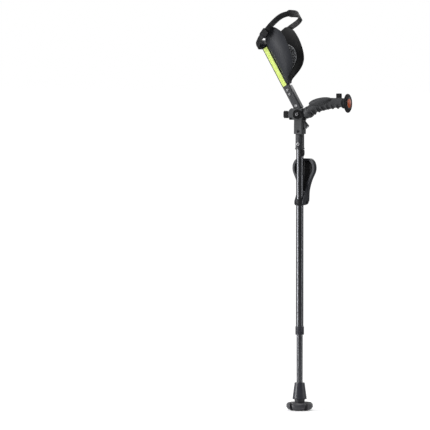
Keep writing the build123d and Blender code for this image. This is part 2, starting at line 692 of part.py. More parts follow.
def handle_end():
    """The frame at the end of the bend: +Z runs out along the handle's straight end."""
    path = handle_path(-1, 10)
    end = path @ 1
    back = 10
    rise = math.radians(HANDLE_END_RISE)
    origin = Pos(end.X - back * math.cos(rise), 0, end.Z - back * math.sin(rise))
    return origin * Rot(0, 90 - HANDLE_END_RISE, 0)


def handle_mount():
    """The round flange on the housing's front that the handle's bar turns in."""
    flange = HANDLE_ROOT * Pos(0, 0, -22) * Cylinder(MOUNT_RADIUS, 9, align=UP)
    flange = fillet(flange.edges().filter_by(GeomType.CIRCLE), 1.5)
    neck = HANDLE_ROOT * Pos(0, 0, -40) * Cone(13, MOUNT_RADIUS - 1, 19, align=UP)
    neck -= box(-40, HOUSING_HALF, -60, 60, 800, 1000)
    neck -= box(0, 24, -60, 60, 800, PIVOT_Z - 7.5)
    socket = HANDLE_ROOT * Pos(0, 0, -30) * Cylinder(BAR_RADIUS + FIT, 30, align=UP)
    return neck + flange - socket


def handle_ring():
    """The dark rubber ring in the groove between the flange and the grip."""
    body = Pos(0, 0, -12.6) * Cylinder(MOUNT_RADIUS - 0.8, 3.2, align=UP)
    body = fillet(body.edges().filter_by(GeomType.CIRCLE), 1.0)
    return HANDLE_ROOT * (body - Pos(0, 0, -20) * Cylinder(BAR_RADIUS, 20, align=UP))


def handle_bar():
    """The bent bar from the flange's socket to the hub of the end disc."""
    return swept(BAR_RADIUS, -29.5, HANDLE_END_RUN + 3)


def station(run):
    """Centre and rise (degrees) of the handle's line, run mm after the bend's start."""
    arc = BEND_RADIUS * math.radians(HANDLE_RISE - HANDLE_END_RISE)
    turned_by = min(max(run / BEND_RADIUS, 0), math.radians(HANDLE_RISE - HANDLE_END_RISE))
    rise = math.radians(HANDLE_RISE) - turned_by
    low = math.radians(HANDLE_RISE)
    x = BEND_X + BEND_RADIUS * (math.sin(low) - math.sin(rise))
    z = BEND_Z + BEND_RADIUS * (math.cos(rise) - math.cos(low))
    straight = min(run, 0) + max(run - arc, 0)
    return (x + straight * math.cos(rise), z + straight * math.sin(rise), math.degrees(rise))


def button_pocket(spare):
    """The slot for the horn button, spare mm wider all round and deeper."""
    half = 7.5 + spare
    tab = Pos(-20.0, 0, BUTTON_RUN) * Box(18, 10 + 2 * spare, 2 * half)
    return handle_end() * tab


def grip():
    """The moulded grip: finger grooves below and a palm shelf on the outer side."""
    body = swept(GRIP_RADIUS, -9, HANDLE_END_RUN)
    shelf_x, shelf_z, rise = station(30)
    shelf = scale(Sphere(1), by=(36, 15, 12))
    body += Pos(shelf_x - 3, -9.5, shelf_z + 11) * Rot(0, -rise + 6, 0) * shelf
    groove_radius = 13.0
    for finger in range(6):
        x, z, rise = station(9 + 17.5 * finger)
        drop = GRIP_RADIUS + groove_radius - 2.2
        angle = math.radians(rise)
        centre_x = x + drop * math.sin(angle)
        centre_z = z - drop * math.cos(angle)
        body -= ycyl(groove_radius, -30, 30, centre_x, centre_z)
    body -= swept(BAR_RADIUS, -12, HANDLE_END_RUN + 3)
    return body - button_pocket(0.4)


def horn_button():
    """The thumb button near the end of the grip."""
    button = Pos(-22.0, 0, BUTTON_RUN) * Box(15, 10, 15)
    button = fillet(button.edges().filter_by(Axis.Y), 2.0)
    button = fillet(button.edges().group_by(Axis.X)[0], 1.2)
    return handle_end() * button


def end_hub():
    """The conical hub and the round disc that close the handle."""
    run = HANDLE_END_RUN
    hub = turned([(0, run + 0.3), (15.5, run + 0.3), (14.2, run + 3), (15, run + 4.5), (17, run + 7),
                  (25, run + 11), (DISC_RADIUS - 0.8, run + 12), (DISC_RADIUS, run + 13.2),
                  (DISC_RADIUS - 0.6, run + 15), (25, run + 17), (18, run + 17.6), (0, run + 17.6)])
    hub -= Pos(0, 0, run) * Cylinder(BAR_RADIUS, 3, align=UP)
    hub -= Pos(0, 0, run + 6) * Cylinder(14.4, 20, align=UP)
    for angle in HORN_HOLES:
        hub -= Rot(0, 0, angle) * Pos(20.3, 0, run + 9) * Cylinder(1.5, 12, align=UP)
    for angle in DISC_SCREWS:
        hub -= Rot(0, 0, angle) * Pos(20.3, 0, run + 15.2) * Cylinder(2.6, 6, align=UP)
        hub -= Rot(0, 0, angle) * Pos(20.3, 0, run + 12) * Cylinder(1.1, 6, align=UP)
    return handle_end() * hub


def disc_screws():
    """The three sunk screws in the disc's face."""
    screws = []
    for angle in DISC_SCREWS:
        place = Rot(0, 0, angle) * Pos(20.3, 0, HANDLE_END_RUN + 15.2)
        screws.append(handle_end() * place * button_screw(1.1, 1.3, 3))
    return screws


def reflector_ring():
    """The grey ring around the red reflector."""
    body = Pos(0, 0, HANDLE_END_RUN + 17.6) * (Cylinder(17.4, 1.2, align=UP) - Cylinder(14.0, 4))
    rim = body.edges().group_by(Axis.Z)[-1]
    return handle_end() * chamfer(rim, 0.5)


def red_reflector():
    """The domed red reflector, seated in the disc."""
    low = HANDLE_END_RUN + 15
    dome = [(13.9, low + 3.4), (12, low + 4.2), (8, low + 5.0), (4, low + 5.5), (0, low + 5.6)]
    return handle_end() * turned([(0, low), (13.9, low), *dome])


def horn_speaker():
    """The horn's buzzer behind the reflector."""
    body = Pos(0, 0, HANDLE_END_RUN + 10.4) * Cylinder(13.5, 4.2, align=UP)
    return handle_end() * fillet(body.edges().filter_by(GeomType.CIRCLE), 0.8)


def horn_cell():
    """The coin cell that feeds the horn."""
    body = Pos(0, 0, HANDLE_END_RUN + 6.4) * Cylinder(10, 3.2, align=UP)
    return handle_end() * fillet(body.edges().filter_by(GeomType.CIRCLE), 0.6)


# ---------------------------------------------------------------- knee rest
# Drawn upright about its pin and leaned back by KNEE. +Y is away from the tube.

def knee_outline(inset=0.0):
    """The rest's outline from behind, a broad head on a waisted stem, drawn in about the head."""
    head_z, half_width, half_height = 95.0, 41.0, 35.5
    side = [(16.4, 3), (17, 12), (17.5, 31), (22, 52), (31, 74), (40.5, 94), (40, 112),
            (31, 126), (15, 130.5)]
    wide = 1 - inset / half_width
    tall = 1 - inset / half_height
    side = [(x * wide, head_z + (z - head_z) * tall) for x, z in side]
    other_side = [(-x, z) for x, z in reversed(side)]
    top = Line(side[-1], other_side[0])
    foot = Line(other_side[-1], side[0])
    return [Spline(*side), top, Spline(*other_side), foot]


def knee_slab(inset, y0, y1):
    """The outline, drawn in by inset, as a slab from y0 to y1."""
    face = make_face(knee_outline(inset))
    placed = Plane(origin=(0, y0, 0), x_dir=(1, 0, 0), z_dir=(0, -1, 0)) * face
    return extrude(placed, amount=-(y1 - y0))


def knee_flanges():
    """The two side flanges: deep at the pin, running out into the head's rim."""
    edge = Polyline((5, 76), (-10, 30), (-21, 4), (-22, -4), (-18, -9), (-6, -8), (3, -5), (7.5, 3),
                    (7.5, 76), close=True)
    plane = Plane(origin=(KNEE_FLANGE_IN, 0, 0), x_dir=(0, 1, 0), z_dir=(1, 0, 0))
    flange = extrude(plane * make_face(edge), amount=KNEE_FLANGE_OUT - KNEE_FLANGE_IN)
    return [flange, mirror(flange, about=Plane.YZ)]


def knee_rest():
    """The fold-out rest: a dished head with a raised rim, and two flanges on the pin."""
    plate = knee_slab(0, 5.5, 9)
    rim = knee_slab(0, -3, 5.5) - knee_slab(7, -4, 5.5) - box(-60, 60, -10, 5.5, -20, 24)
    body = plate + rim
    for flange in knee_flanges():
        body += flange
    return KNEE * (body - xcyl(2.5, -40, 40, 0, 0))


def knee_pad():
    """The soft pad in the dish."""
    pad = knee_slab(7.8, 0.8, 5.5) - box(-60, 60, -10, 10, -20, 34)
    for flange in knee_flanges():
        pad -= flange
    return KNEE * pad


def knee_pin():
    """The pin through the flanges and the clamp, with a head at each end."""
    pin = xcyl(2.5, -KNEE_FLANGE_OUT - 0.1, KNEE_FLANGE_OUT + 0.1, 0, 0)
    for side in (-1, 1):
        head = Pos(side * (KNEE_FLANGE_OUT + 1.0), 0, 0) * Rot(0, 90, 0) * Cylinder(4.2, 1.8)
        pin += fillet(head.edges().filter_by(GeomType.CIRCLE), 0.7)
    return KNEE_CLAMP * Pos(0, KNEE_PIN_Y, KNEE_PIN_Z) * pin


def knee_clamp_block():
    """The clamp band, its pin boss and its screw ears, before the split."""
    width = KNEE_FLANGE_IN - 0.4
    band = zcyl(KNEE_CLAMP_RADIUS, KNEE_PIN_Z - 9, KNEE_PIN_Z + 9)
    band += box(-width, width, 6, KNEE_PIN_Y, KNEE_PIN_Z - 4.3, KNEE_PIN_Z + 4.3)
    band += xcyl(4.3, -width, width, KNEE_PIN_Y, KNEE_PIN_Z)
    band -= xcyl(2.5 + FIT, -20, 20, KNEE_PIN_Y, KNEE_PIN_Z)
    band -= zcyl(MAIN_RADIUS, 600, 640)
    for height in (-6, 6):
        band -= ycyl(1.2, -20, -8, 0, KNEE_PIN_Z + height)
    return band


def knee_clamp_outer():
    return KNEE_CLAMP * (knee_clamp_block() & box(-30, 30, -30, -0.05, 600, 640))


def knee_clamp_inner():
    return KNEE_CLAMP * (knee_clamp_block() & box(-30, 30, 0.05, 30, 600, 640))


def knee_clamp_screws():
    """The two small screws that bite through the clamp's outer half into the tube."""
    screws = []
    for height in (-6, 6):
        screws.append(KNEE_CLAMP * outer_screw(0, -KNEE_CLAMP_RADIUS, KNEE_PIN_Z + height,
                                               radius=1.2, head=1.4, length=1.85))
    return screws


PARTS = [
    foot_pad, ball_seat, ball_stud, ferrule, lower_tube, guide_bush, collet, lock_collar, main_tube,
    catch_clip, upper_sleeve, sleeve_bolt, housing_left, housing_right, housing_screws, pivot_bolt,
    pivot_nut, pivot_washer, rosette_cover, release_knob, lock_pin, lock_spring, torch_body,
    torch_reflector, torch_led, torch_lens, torch_cell, torch_switch, forearm_tube, forearm_knuckle,
    forearm_screws, cuff_spine, reflector_strip, cuff_shell, cuff_screws, cuff_pad, strap,
    strap_rivets, strap_return, strap_buckle, buckle_bar, strap_lug, handle_mount, handle_ring,
    handle_bar, grip, horn_button, end_hub, disc_screws, reflector_ring, red_reflector, horn_speaker,
    horn_cell, knee_rest, knee_pad, knee_pin, knee_clamp_outer, knee_clamp_inner, knee_clamp_screws,
]

os.makedirs("parts", exist_ok=True)
for make_part in PARTS:
    shape = make_part()
    if isinstance(shape, list):
        shape = Compound(children=shape)
    export_step(shape, f"parts/{make_part.__name__}.step")
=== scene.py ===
"""A forearm crutch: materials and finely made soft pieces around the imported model."""
import json
import math

import bmesh
import bpy
import numpy as np
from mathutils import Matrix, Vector


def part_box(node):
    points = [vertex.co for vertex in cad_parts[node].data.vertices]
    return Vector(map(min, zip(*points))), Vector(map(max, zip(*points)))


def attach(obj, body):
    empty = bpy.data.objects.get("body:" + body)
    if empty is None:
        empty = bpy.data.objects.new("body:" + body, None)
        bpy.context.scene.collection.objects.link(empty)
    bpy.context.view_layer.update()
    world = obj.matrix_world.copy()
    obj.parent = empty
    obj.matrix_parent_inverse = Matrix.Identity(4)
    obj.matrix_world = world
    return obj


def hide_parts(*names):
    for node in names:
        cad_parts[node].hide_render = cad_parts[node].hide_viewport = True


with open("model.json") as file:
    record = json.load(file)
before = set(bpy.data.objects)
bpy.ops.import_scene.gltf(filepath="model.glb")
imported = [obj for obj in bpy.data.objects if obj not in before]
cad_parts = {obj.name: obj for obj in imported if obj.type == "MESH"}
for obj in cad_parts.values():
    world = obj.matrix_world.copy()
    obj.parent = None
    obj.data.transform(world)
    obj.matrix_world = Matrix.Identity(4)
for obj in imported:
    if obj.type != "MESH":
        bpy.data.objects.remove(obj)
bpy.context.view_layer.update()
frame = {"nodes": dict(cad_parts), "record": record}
NODES = frame["nodes"]

MM = 0.001

# ---------------------------------------------------------------- frames shared with the CAD

PIVOT_Z = 0.882
FOREARM_LEAN = math.radians(30)


def forearm(front, across, up):
    """Forearm coordinates in mm (in front of, across, up from the pivot) to world metres."""
    x = -math.sin(FOREARM_LEAN) * up + math.cos(FOREARM_LEAN) * front
    z = math.cos(FOREARM_LEAN) * up + math.sin(FOREARM_LEAN) * front
    return Vector((x * MM, across * MM, PIVOT_Z + z * MM))


# ---------------------------------------------------------------- materials

class Nodes:
    """A small wrapper that adds and links shader nodes."""

    def __init__(self, name):
        self.material = bpy.data.materials.new(name)
        self.material.use_nodes = True
        self.tree = self.material.node_tree
        self.bsdf = self.tree.nodes["Principled BSDF"]

    def add(self, kind, settings=None, **inputs):
        node = self.tree.nodes.new(kind)
        for key, value in (settings or {}).items():
            setattr(node, key, value)
        for key, value in inputs.items():
            self.put(node, key.replace("_", " "), value)
        return node

    def put(self, node, key, value):
        socket = node.inputs[int(key[1:])] if key[0] == "#" else node.inputs[key]
        if isinstance(value, bpy.types.NodeSocket):
            self.tree.links.new(value, socket)
        else:
            socket.default_value = value

    def coords(self, stretch=(1, 1, 1), source="Object"):
        where = self.add("ShaderNodeTexCoord")
        mapping = self.add("ShaderNodeMapping")
        self.put(mapping, "Vector", where.outputs[source])
        self.put(mapping, "Scale", stretch)
        return mapping.outputs["Vector"]

    def noise(self, scale, detail=3.0, vector=None, rough=0.55):
        node = self.add("ShaderNodeTexNoise", Scale=scale, Detail=detail, Roughness=rough)
        self.put(node, "Vector", vector or self.coords())
        return node.outputs["Fac"]

    def voronoi(self, scale, feature="F1", vector=None, output="Distance", chance=1.0):
        node = self.add("ShaderNodeTexVoronoi", {"feature": feature}, Scale=scale, Randomness=chance)
        self.put(node, "Vector", vector or self.coords())
        return node.outputs[output]

    def spread(self, value, low, high, to_low, to_high):
        node = self.add("ShaderNodeMapRange", {"clamp": True})
        for key, number in (("Value", value), ("From Min", low), ("From Max", high),
                            ("To Min", to_low), ("To Max", to_high)):
            self.put(node, key, number)
        return node.outputs["Result"]

    def maths(self, operation, first, second):
        node = self.add("ShaderNodeMath", {"operation": operation})
        self.put(node, "#0", first)
        self.put(node, "#1", second)
        return node.outputs[0]

    def mix(self, share, first, second, blend="MIX"):
        node = self.add("ShaderNodeMix", {"data_type": "RGBA", "blend_type": blend})
        self.put(node, "#0", share)
        self.put(node, "#6", first if isinstance(first, bpy.types.NodeSocket) else (*first, 1))
        self.put(node, "#7", second if isinstance(second, bpy.types.NodeSocket) else (*second, 1))
        return node.outputs[2]

    def bump(self, height, strength, distance, under=None):
        node = self.add("ShaderNodeBump", Strength=strength, Distance=distance, Height=height)
        if under is not None:
            self.put(node, "Normal", under)
        return node.outputs["Normal"]

    def finish(self, color, roughness, normal=None, metallic=0.0, **shader):
        self.put(self.bsdf, "Base Color", color if isinstance(color, bpy.types.NodeSocket) else (*color, 1))
        self.put(self.bsdf, "Roughness", roughness)
        self.put(self.bsdf, "Metallic", metallic)
        if normal is not None:
            self.put(self.bsdf, "Normal", normal)
        for key, value in shader.items():
            self.put(self.bsdf, key.replace("_", " "), value)
        return self.material


def shade(color, factor):
    return tuple(min(1.0, channel * factor) for channel in color)


def anodised(name, color, rough=0.34, stretch=(260, 260, 0.5), metallic=0.85):
    """Anodised tube: drawn lines along its length, faint cloudiness and rare light scuffs."""
    n = Nodes(name)
    lines = n.noise(1.0, 4, n.coords(stretch))
    cloud = n.noise(14, 3)
    scuff = n.spread(n.noise(1.0, 6, n.coords((90, 90, 3)), 0.6), 0.66, 0.76, 0, 0.3)
    tone = n.mix(cloud, shade(color, 0.86), shade(color, 1.16))
    tone = n.mix(scuff, tone, shade(color, 1.35))
    rough_map = n.maths("ADD", n.spread(lines, 0.3, 0.7, rough - 0.03, rough + 0.05),
                        n.spread(cloud, 0.3, 0.7, 0, 0.05))
    return n.finish(tone, rough_map, n.bump(lines, 0.035, 0.00004), metallic)


def moulded(name, color, rough=0.5, grain=1500, depth=0.00005, wear=1.5, coat=0.0, gloss=0.4):
    """Moulded plastic: spark-eroded grain, uneven sheen, worn lighter edges."""
    n = Nodes(name)
    fine = n.noise(grain, 2)
    cloud = n.noise(22, 4)
    edge = n.add("ShaderNodeNewGeometry").outputs["Pointiness"]
    worn = n.maths("MULTIPLY", n.spread(edge, 0.52, 0.60, 0, 0.7), n.noise(60, 3))
    tone = n.mix(cloud, shade(color, 0.84), shade(color, 1.18))
    tone = n.mix(n.spread(fine, 0.35, 0.65, 0, 0.35), tone, shade(color, 0.7))
    tone = n.mix(worn, tone, shade(color, wear + 0.6))
    rough_map = n.spread(cloud, 0.3, 0.7, rough - 0.06, rough + 0.1)
    return n.finish(tone, rough_map, n.bump(fine, 0.35, depth), 0.0, Coat_Weight=coat, Coat_Roughness=0.25,
                    Specular_IOR_Level=gloss)


def rubber(name, color, rough=0.72, grain=900, depth=0.0002, dots=True):
    """Rubber: pebbled or smooth skin with a dry bloom and dust in its hollows."""
    n = Nodes(name)
    if dots:
        pebble = n.voronoi(grain, "SMOOTH_F1")
    else:
        pebble = n.noise(grain, 3)
    bloom = n.noise(30, 5, None, 0.65)
    tone = n.mix(bloom, shade(color, 0.75), shade(color, 1.3))
    tone = n.mix(n.spread(pebble, 0.2, 0.75, 0.5, 0), tone, shade(color, 1.7))
    rough_map = n.spread(bloom, 0.3, 0.7, rough - 0.08, rough + 0.1)
    normal = n.bump(pebble, 0.6, depth, n.bump(n.noise(160, 3), 0.2, 0.0003))
    return n.finish(tone, rough_map, normal, 0.0, Sheen_Weight=0.15, Sheen_Roughness=0.5)


def leather(name, color, rough=0.48):
    """Grained leather: creased cells, soft patches, a little sheen."""
    n = Nodes(name)
    cells = n.voronoi(620, "DISTANCE_TO_EDGE")
    crease = n.spread(cells, 0.0, 0.16, 0, 1)
    patch = n.noise(35, 5, None, 0.6)
    tone = n.mix(patch, shade(color, 0.75), shade(color, 1.35))
    tone = n.mix(crease, shade(color, 0.5), tone)
    rough_map = n.spread(patch, 0.3, 0.7, rough - 0.08, rough + 0.14)
    normal = n.bump(crease, 0.55, 0.00022, n.bump(n.noise(90, 4), 0.25, 0.0004))
    return n.finish(tone, rough_map, normal, 0.0, Specular_IOR_Level=0.28)


def steel(name, color, rough=0.28, turned=(500, 500, 500)):
    """Machined steel with fine tool lines and stains."""
    n = Nodes(name)
    lines = n.noise(1.0, 3, n.coords(turned))
    stain = n.noise(120, 4)
    tone = n.mix(stain, shade(color, 0.8), shade(color, 1.15))
    rough_map = n.spread(lines, 0.3, 0.7, rough - 0.06, rough + 0.12)
    return n.finish(tone, rough_map, n.bump(lines, 0.15, 0.00005), 1.0)


def prismatic(name, color, glint_color, cells, rough=0.16, glow=0.0):
    """Reflector plastic: tight rows of prisms under a clear glossy face, with painted glints (prisms picked
    at random are lifted towards a lighter glint colour) and painted shade darkening each prism towards its
    rim.
    """
    n = Nodes(name)
    where = n.coords()
    prism = n.voronoi(cells, "F1", where, chance=0.25)
    # a random pick of prisms, each lifted towards the lighter glint colour: painted glints
    glint_pick = n.voronoi(cells, "F1", where, "Color", 0.25)
    level = n.add("ShaderNodeSeparateColor")
    n.put(level, "Color", glint_pick)
    tone = n.mix(level.outputs[0], shade(color, 0.72), glint_color)
    # each prism darker towards its rim: painted shade between the prisms
    tone = n.mix(n.spread(prism, 0.1, 0.6, 0, 0.7), tone, shade(color, 0.45))
    tone = n.mix(n.noise(9, 2, where), tone, color)
    # glow makes the face give off light of its own; on the yellow strip and the red lens this is painted
    # light, as reflectors are no lamps
    extra = {"Emission_Strength": glow} if glow else {}
    made = n.finish(tone, rough, n.bump(prism, 0.8, 0.0006), 0.0, Coat_Weight=0.8,
                    Coat_Roughness=0.06, **extra)
    if glow:
        n.put(n.bsdf, "Emission Color", tone)
    return made


def spacer_mesh(name, thread, hole_shade):
    """Open 3-D spacer mesh from the piece's UV map, in mm: staggered holes between twisted threads, the holes
    filled with a near-black colour as painted shade inside the open mesh.
    """
    n = Nodes(name)
    uv = n.coords((1, 1, 1), "UV")
    wobble = n.add("ShaderNodeVectorMath", {"operation": "ADD"})
    jitter = n.add("ShaderNodeTexNoise", Scale=0.25, Detail=2)
    n.put(jitter, "Vector", uv)
    pull = n.add("ShaderNodeVectorMath", {"operation": "SCALE"}, Scale=0.9)
    n.put(pull, "Vector", jitter.outputs["Color"])
    n.put(wobble, "#0", uv)
    n.put(wobble, "#1", pull.outputs[0])
    cell = n.voronoi(0.27, "F1", wobble.outputs[0], chance=0.32)
    size = n.spread(n.noise(0.05, 2, uv), 0.4, 0.6, 0.0, 0.07)
    edge = n.maths("SUBTRACT", cell, size)
    web = n.spread(edge, 0.30, 0.42, 0, 1)
    strands = n.noise(1.0, 4, n.coords((3.2, 1.1, 1), "UV"), 0.7)
    tone = n.mix(strands, shade(thread, 0.45), shade(thread, 1.75))
    # the holes are filled with a near-black colour: painted shade inside the open mesh
    tone = n.mix(web, hole_shade, tone)
    rough_map = n.spread(web, 0, 1, 0.95, 0.6)
    height = n.maths("ADD", web, n.maths("MULTIPLY", strands, 0.35))
    return n.finish(tone, rough_map, n.bump(height, 1.0, 0.0011), 0.0, Sheen_Weight=0.25, Sheen_Roughness=0.4)


def clear_plastic(name):
    n = Nodes(name)
    haze = n.spread(n.noise(300, 3), 0.3, 0.7, 0.02, 0.12)
    return n.finish((0.93, 0.95, 0.97), haze, n.bump(n.noise(900, 2), 0.1, 0.00005), 0.0,
                    Transmission_Weight=0.92, IOR=1.49)


LOOKS = {
    "tube_graphite": anodised("tube_graphite", (0.135, 0.138, 0.148), 0.24, (260, 260, 0.5), 1.0),
    "frame_graphite": moulded("frame_graphite", (0.040, 0.042, 0.047), 0.42, 2600, 0.00003, 1.8, 0.15),
    "housing_grey": moulded("housing_grey", (0.052, 0.054, 0.058), 0.46, 1500, 0.00006, 1.7),
    "moulded_black": moulded("moulded_black", (0.013, 0.013, 0.015), 0.48, 1200, 0.00006, 1.9, 0.0, 0.3),
    "cuff_plastic": moulded("cuff_plastic", (0.034, 0.036, 0.043), 0.52, 2200, 0.00004, 1.6, 0.0, 0.3),
    "control_black": moulded("control_black", (0.006, 0.006, 0.007), 0.33, 1800, 0.00004, 2.6, 0.0, 0.25),
    "foot_rubber": rubber("foot_rubber", (0.030, 0.030, 0.036), 0.34, 420, 0.0002, False),
    "grip_rubber": rubber("grip_rubber", (0.024, 0.025, 0.028), 0.68, 1250, 0.00028),
    # its holes are drawn near-black: painted shade inside the open mesh
    "mesh_fabric": spacer_mesh("mesh_fabric", (0.17, 0.175, 0.185), (0.002, 0.002, 0.003)),
    "pad_cover": leather("pad_cover", (0.010, 0.010, 0.012), 0.55),
    "strap_leather": leather("strap_leather", (0.008, 0.008, 0.010), 0.42),
    "black_steel": steel("black_steel", (0.035, 0.035, 0.04), 0.3),
    "bright_steel": steel("bright_steel", (0.30, 0.30, 0.31)),
    # the yellow strip and the red lens are given a little glow: painted light, since a reflector is no lamp
    "strip_yellow": prismatic("strip_yellow", (0.80, 1.0, 0.20), (0.88, 1.0, 0.33), 900, 0.3, 0.25),
    "lens_red": prismatic("lens_red", (0.66, 0.060, 0.006), (0.95, 0.33, 0.02), 420, 0.2, 0.05),
    "ring_grey": moulded("ring_grey", (0.030, 0.032, 0.040), 0.34, 1500, 0.00003, 1.3, 0.2),
    "lens_clear": clear_plastic("lens_clear"),
    "mirror_cup": steel("mirror_cup", (0.86, 0.86, 0.87), 0.12, (900, 900, 900)),
    "lamp_yellow": prismatic("lamp_yellow", (0.95, 0.80, 0.30), (1.0, 0.92, 0.5), 1400, 0.2, 0.3),
}
EXTRA = {
    "edge_grey": rubber("edge_grey", (0.045, 0.046, 0.05), 0.6, 700, 0.0001, False),
    # a near-black copy of the cuff plastic for the shell's inner face and rims: painted shade inside the
    # trough
    "cuff_inside_shade": moulded("cuff_inside_shade", (0.006, 0.006, 0.007), 0.6, 2200, 0.00004, 1.6),
    "ferrule_grey": moulded("ferrule_grey", (0.034, 0.035, 0.046), 0.36, 1300, 0.00006, 1.9, 0.2),
    "thread": leather("thread", (0.06, 0.062, 0.066), 0.7),
    "pad_border": rubber("pad_border", (0.34, 0.35, 0.36), 0.6, 900, 0.0001, False),
    "hex_grey": steel("hex_grey", (0.42, 0.42, 0.43), 0.35),
}
SLOT_OF = {entry["node"]: entry["material_slot"] for entry in frame["record"]["subparts"]}

# CAD nodes whose edges show get a small rounding, its width in mm
EDGE = {
    "housing_left": 0.5, "housing_right": 0.5, "handle_mount": 0.4, "torch_body": 0.5, "ferrule": 0.5,
    "lock_collar": 0.25, "upper_sleeve": 0.3, "forearm_tube": 0.3, "cuff_spine": 0.35,
    "release_knob": 0.6, "torch_switch": 0.3, "horn_button": 0.5, "strap_buckle": 0.6, "strap_lug": 0.8,
    "knee_rest": 0.9, "knee_clamp_outer": 0.4, "knee_clamp_inner": 0.4, "end_hub": 0.3,
    "catch_clip": 0.4, "buckle_bar": 0.4, "foot_pad": 1.0, "rosette_cover": 0.2,
    "reflector_strip": 0.15, "reflector_ring": 0.2, "handle_ring": 0.3,
}

# nodes whose colour differs from the rest of their slot
NODE_LOOK = {"forearm_screws": EXTRA["hex_grey"], "buckle_bar": LOOKS["black_steel"],
             "sleeve_bolt": EXTRA["hex_grey"], "ferrule": EXTRA["ferrule_grey"],
             "lock_collar": EXTRA["ferrule_grey"]}


def soften(piece, width, segments, angle):
    """Bevels a piece's edges sharper than an angle in degrees, width in mm."""
    bevel = piece.modifiers.new("edges", "BEVEL")
    bevel.width = width * MM
    bevel.segments = segments
    bevel.limit_method = "ANGLE"
    bevel.angle_limit = math.radians(angle)


for node, piece in NODES.items():
    material = NODE_LOOK.get(node) or LOOKS[SLOT_OF[node]]
    piece.data.materials.clear()
    piece.data.materials.append(material)
    if node in EDGE:
        weld = piece.modifiers.new("weld", "WELD")
        weld.merge_threshold = 1e-6
        soften(piece, EDGE[node], 2, 38)

# ---------------------------------------------------------------- camera, lights, floor

AZIMUTH = math.radians(24)
DISTANCE = 12.0
CAMERA_Z = 1.12
AIM_Z = 0.582
AIM_SIDE = -0.252
LENS = 338.4

camera_data = bpy.data.cameras.new("camera")
camera_data.lens = LENS
camera_data.sensor_width = 36
camera = bpy.data.objects.new("camera", camera_data)
bpy.context.scene.collection.objects.link(camera)
camera.location = (DISTANCE * math.sin(AZIMUTH), -DISTANCE * math.cos(AZIMUTH), CAMERA_Z)
aim = Vector((AIM_SIDE * math.cos(AZIMUTH), AIM_SIDE * math.sin(AZIMUTH), AIM_Z))
camera.rotation_euler = (aim - camera.location).to_track_quat("-Z", "Y").to_euler()
bpy.context.scene.camera = camera


LIT_HEIGHT = 0.62


def area_light(name, azimuth, elevation, distance, size, power):
    """A soft box aimed at the object's middle; angles in degrees round it and above the floor."""
    data = bpy.data.lights.new(name, "AREA")
    data.shape = "RECTANGLE"
    data.size, data.size_y = size
    data.energy = power
    light = bpy.data.objects.new(name, data)
    bpy.context.scene.collection.objects.link(light)
    turn, lift = math.radians(azimuth), math.radians(elevation)
    target = Vector((0, 0, LIT_HEIGHT))
    offset = Vector((math.sin(turn) * math.cos(lift), -math.cos(turn) * math.cos(lift), math.sin(lift)))
    light.location = target + offset * distance
    light.rotation_euler = (target - light.location).to_track_quat("-Z", "Y").to_euler()


area_light("key", -48, 3, 2.6, (0.8, 2.6), 70)
area_light("fill", 96, 4, 2.9, (0.6, 2.6), 18)
area_light("top", 10, 68, 2.6, (1.6, 1.6), 24)
area_light("rim", 190, 30, 2.8, (1.6, 1.2), 14)

# a white backdrop for the camera; the room that lights the object is dimmer, and darkest on
# the camera's side
DARK_SIDE = AZIMUTH + 0.35
world = bpy.data.worlds.new("studio")
world.use_nodes = True
sky = world.node_tree
where = sky.nodes.new("ShaderNodeTexCoord")
facing = sky.nodes.new("ShaderNodeVectorMath")
facing.operation = "DOT_PRODUCT"
facing.inputs[1].default_value = (math.sin(DARK_SIDE), -math.cos(DARK_SIDE), 0)
level = sky.nodes.new("ShaderNodeMapRange")
level.interpolation_type = "SMOOTHSTEP"
for socket, value in (("From Min", -0.35), ("From Max", 0.85), ("To Min", 0.55), ("To Max", 0.05)):
    level.inputs[socket].default_value = value
ray = sky.nodes.new("ShaderNodeLightPath")
strength = sky.nodes.new("ShaderNodeMath")
strength.operation = "MAXIMUM"
sky.links.new(where.outputs["Generated"], facing.inputs[0])
sky.links.new(facing.outputs["Value"], level.inputs["Value"])
sky.links.new(level.outputs["Result"], strength.inputs[0])
sky.links.new(ray.outputs["Is Camera Ray"], strength.inputs[1])
sky.links.new(strength.outputs[0], sky.nodes["Background"].inputs["Strength"])
sky.nodes["Background"].inputs["Color"].default_value = (1, 1, 1, 1)
bpy.context.scene.world = world
bpy.context.scene.view_settings.view_transform = "Standard"

# the floor is pale near the foot and fades to the backdrop's white; it glows fully only for
# the camera
FLOOR_HALF = 60.0
floor_mesh = bpy.data.meshes.new("floor")
floor_mesh.from_pydata([(x * FLOOR_HALF, y * FLOOR_HALF, 0) for x, y in ((-1, -1), (1, -1), (1, 1), (-1, 1))],
                       [], [(0, 1, 2, 3)])
floor = bpy.data.objects.new("floor", floor_mesh)
bpy.context.scene.collection.objects.link(floor)
sweep = Nodes("pale_floor")
reach = sweep.add("ShaderNodeVectorMath", {"operation": "LENGTH"})
sweep.put(reach, "Vector", sweep.coords())
far = sweep.spread(reach.outputs["Value"], 0.25, 2.2, 0, 1)
floor_tone = sweep.mix(sweep.noise(3, 3), (0.88, 0.88, 0.885), (0.92, 0.92, 0.925))
floor_tone = sweep.mix(far, floor_tone, (0, 0, 0))
floor_mesh.materials.append(sweep.finish(floor_tone, 0.8, sweep.bump(sweep.noise(260, 3), 0.05, 0.0004), 0.0,
                                         Emission_Color=(1, 1, 1, 1), Specular_IOR_Level=0.0))
white = sweep.maths("ADD", sweep.maths("MULTIPLY", far, 0.66), 0.38)
seen = sweep.add("ShaderNodeLightPath").outputs["Is Camera Ray"]
sweep.put(sweep.bsdf, "Emission Strength", sweep.maths("MULTIPLY", white, sweep.maths("MAXIMUM", seen, 0.12)))

# ---------------------------------------------------------------- mesh helpers

def all_smooth(mesh):
    mesh.polygons.foreach_set("use_smooth", [True] * len(mesh.polygons))


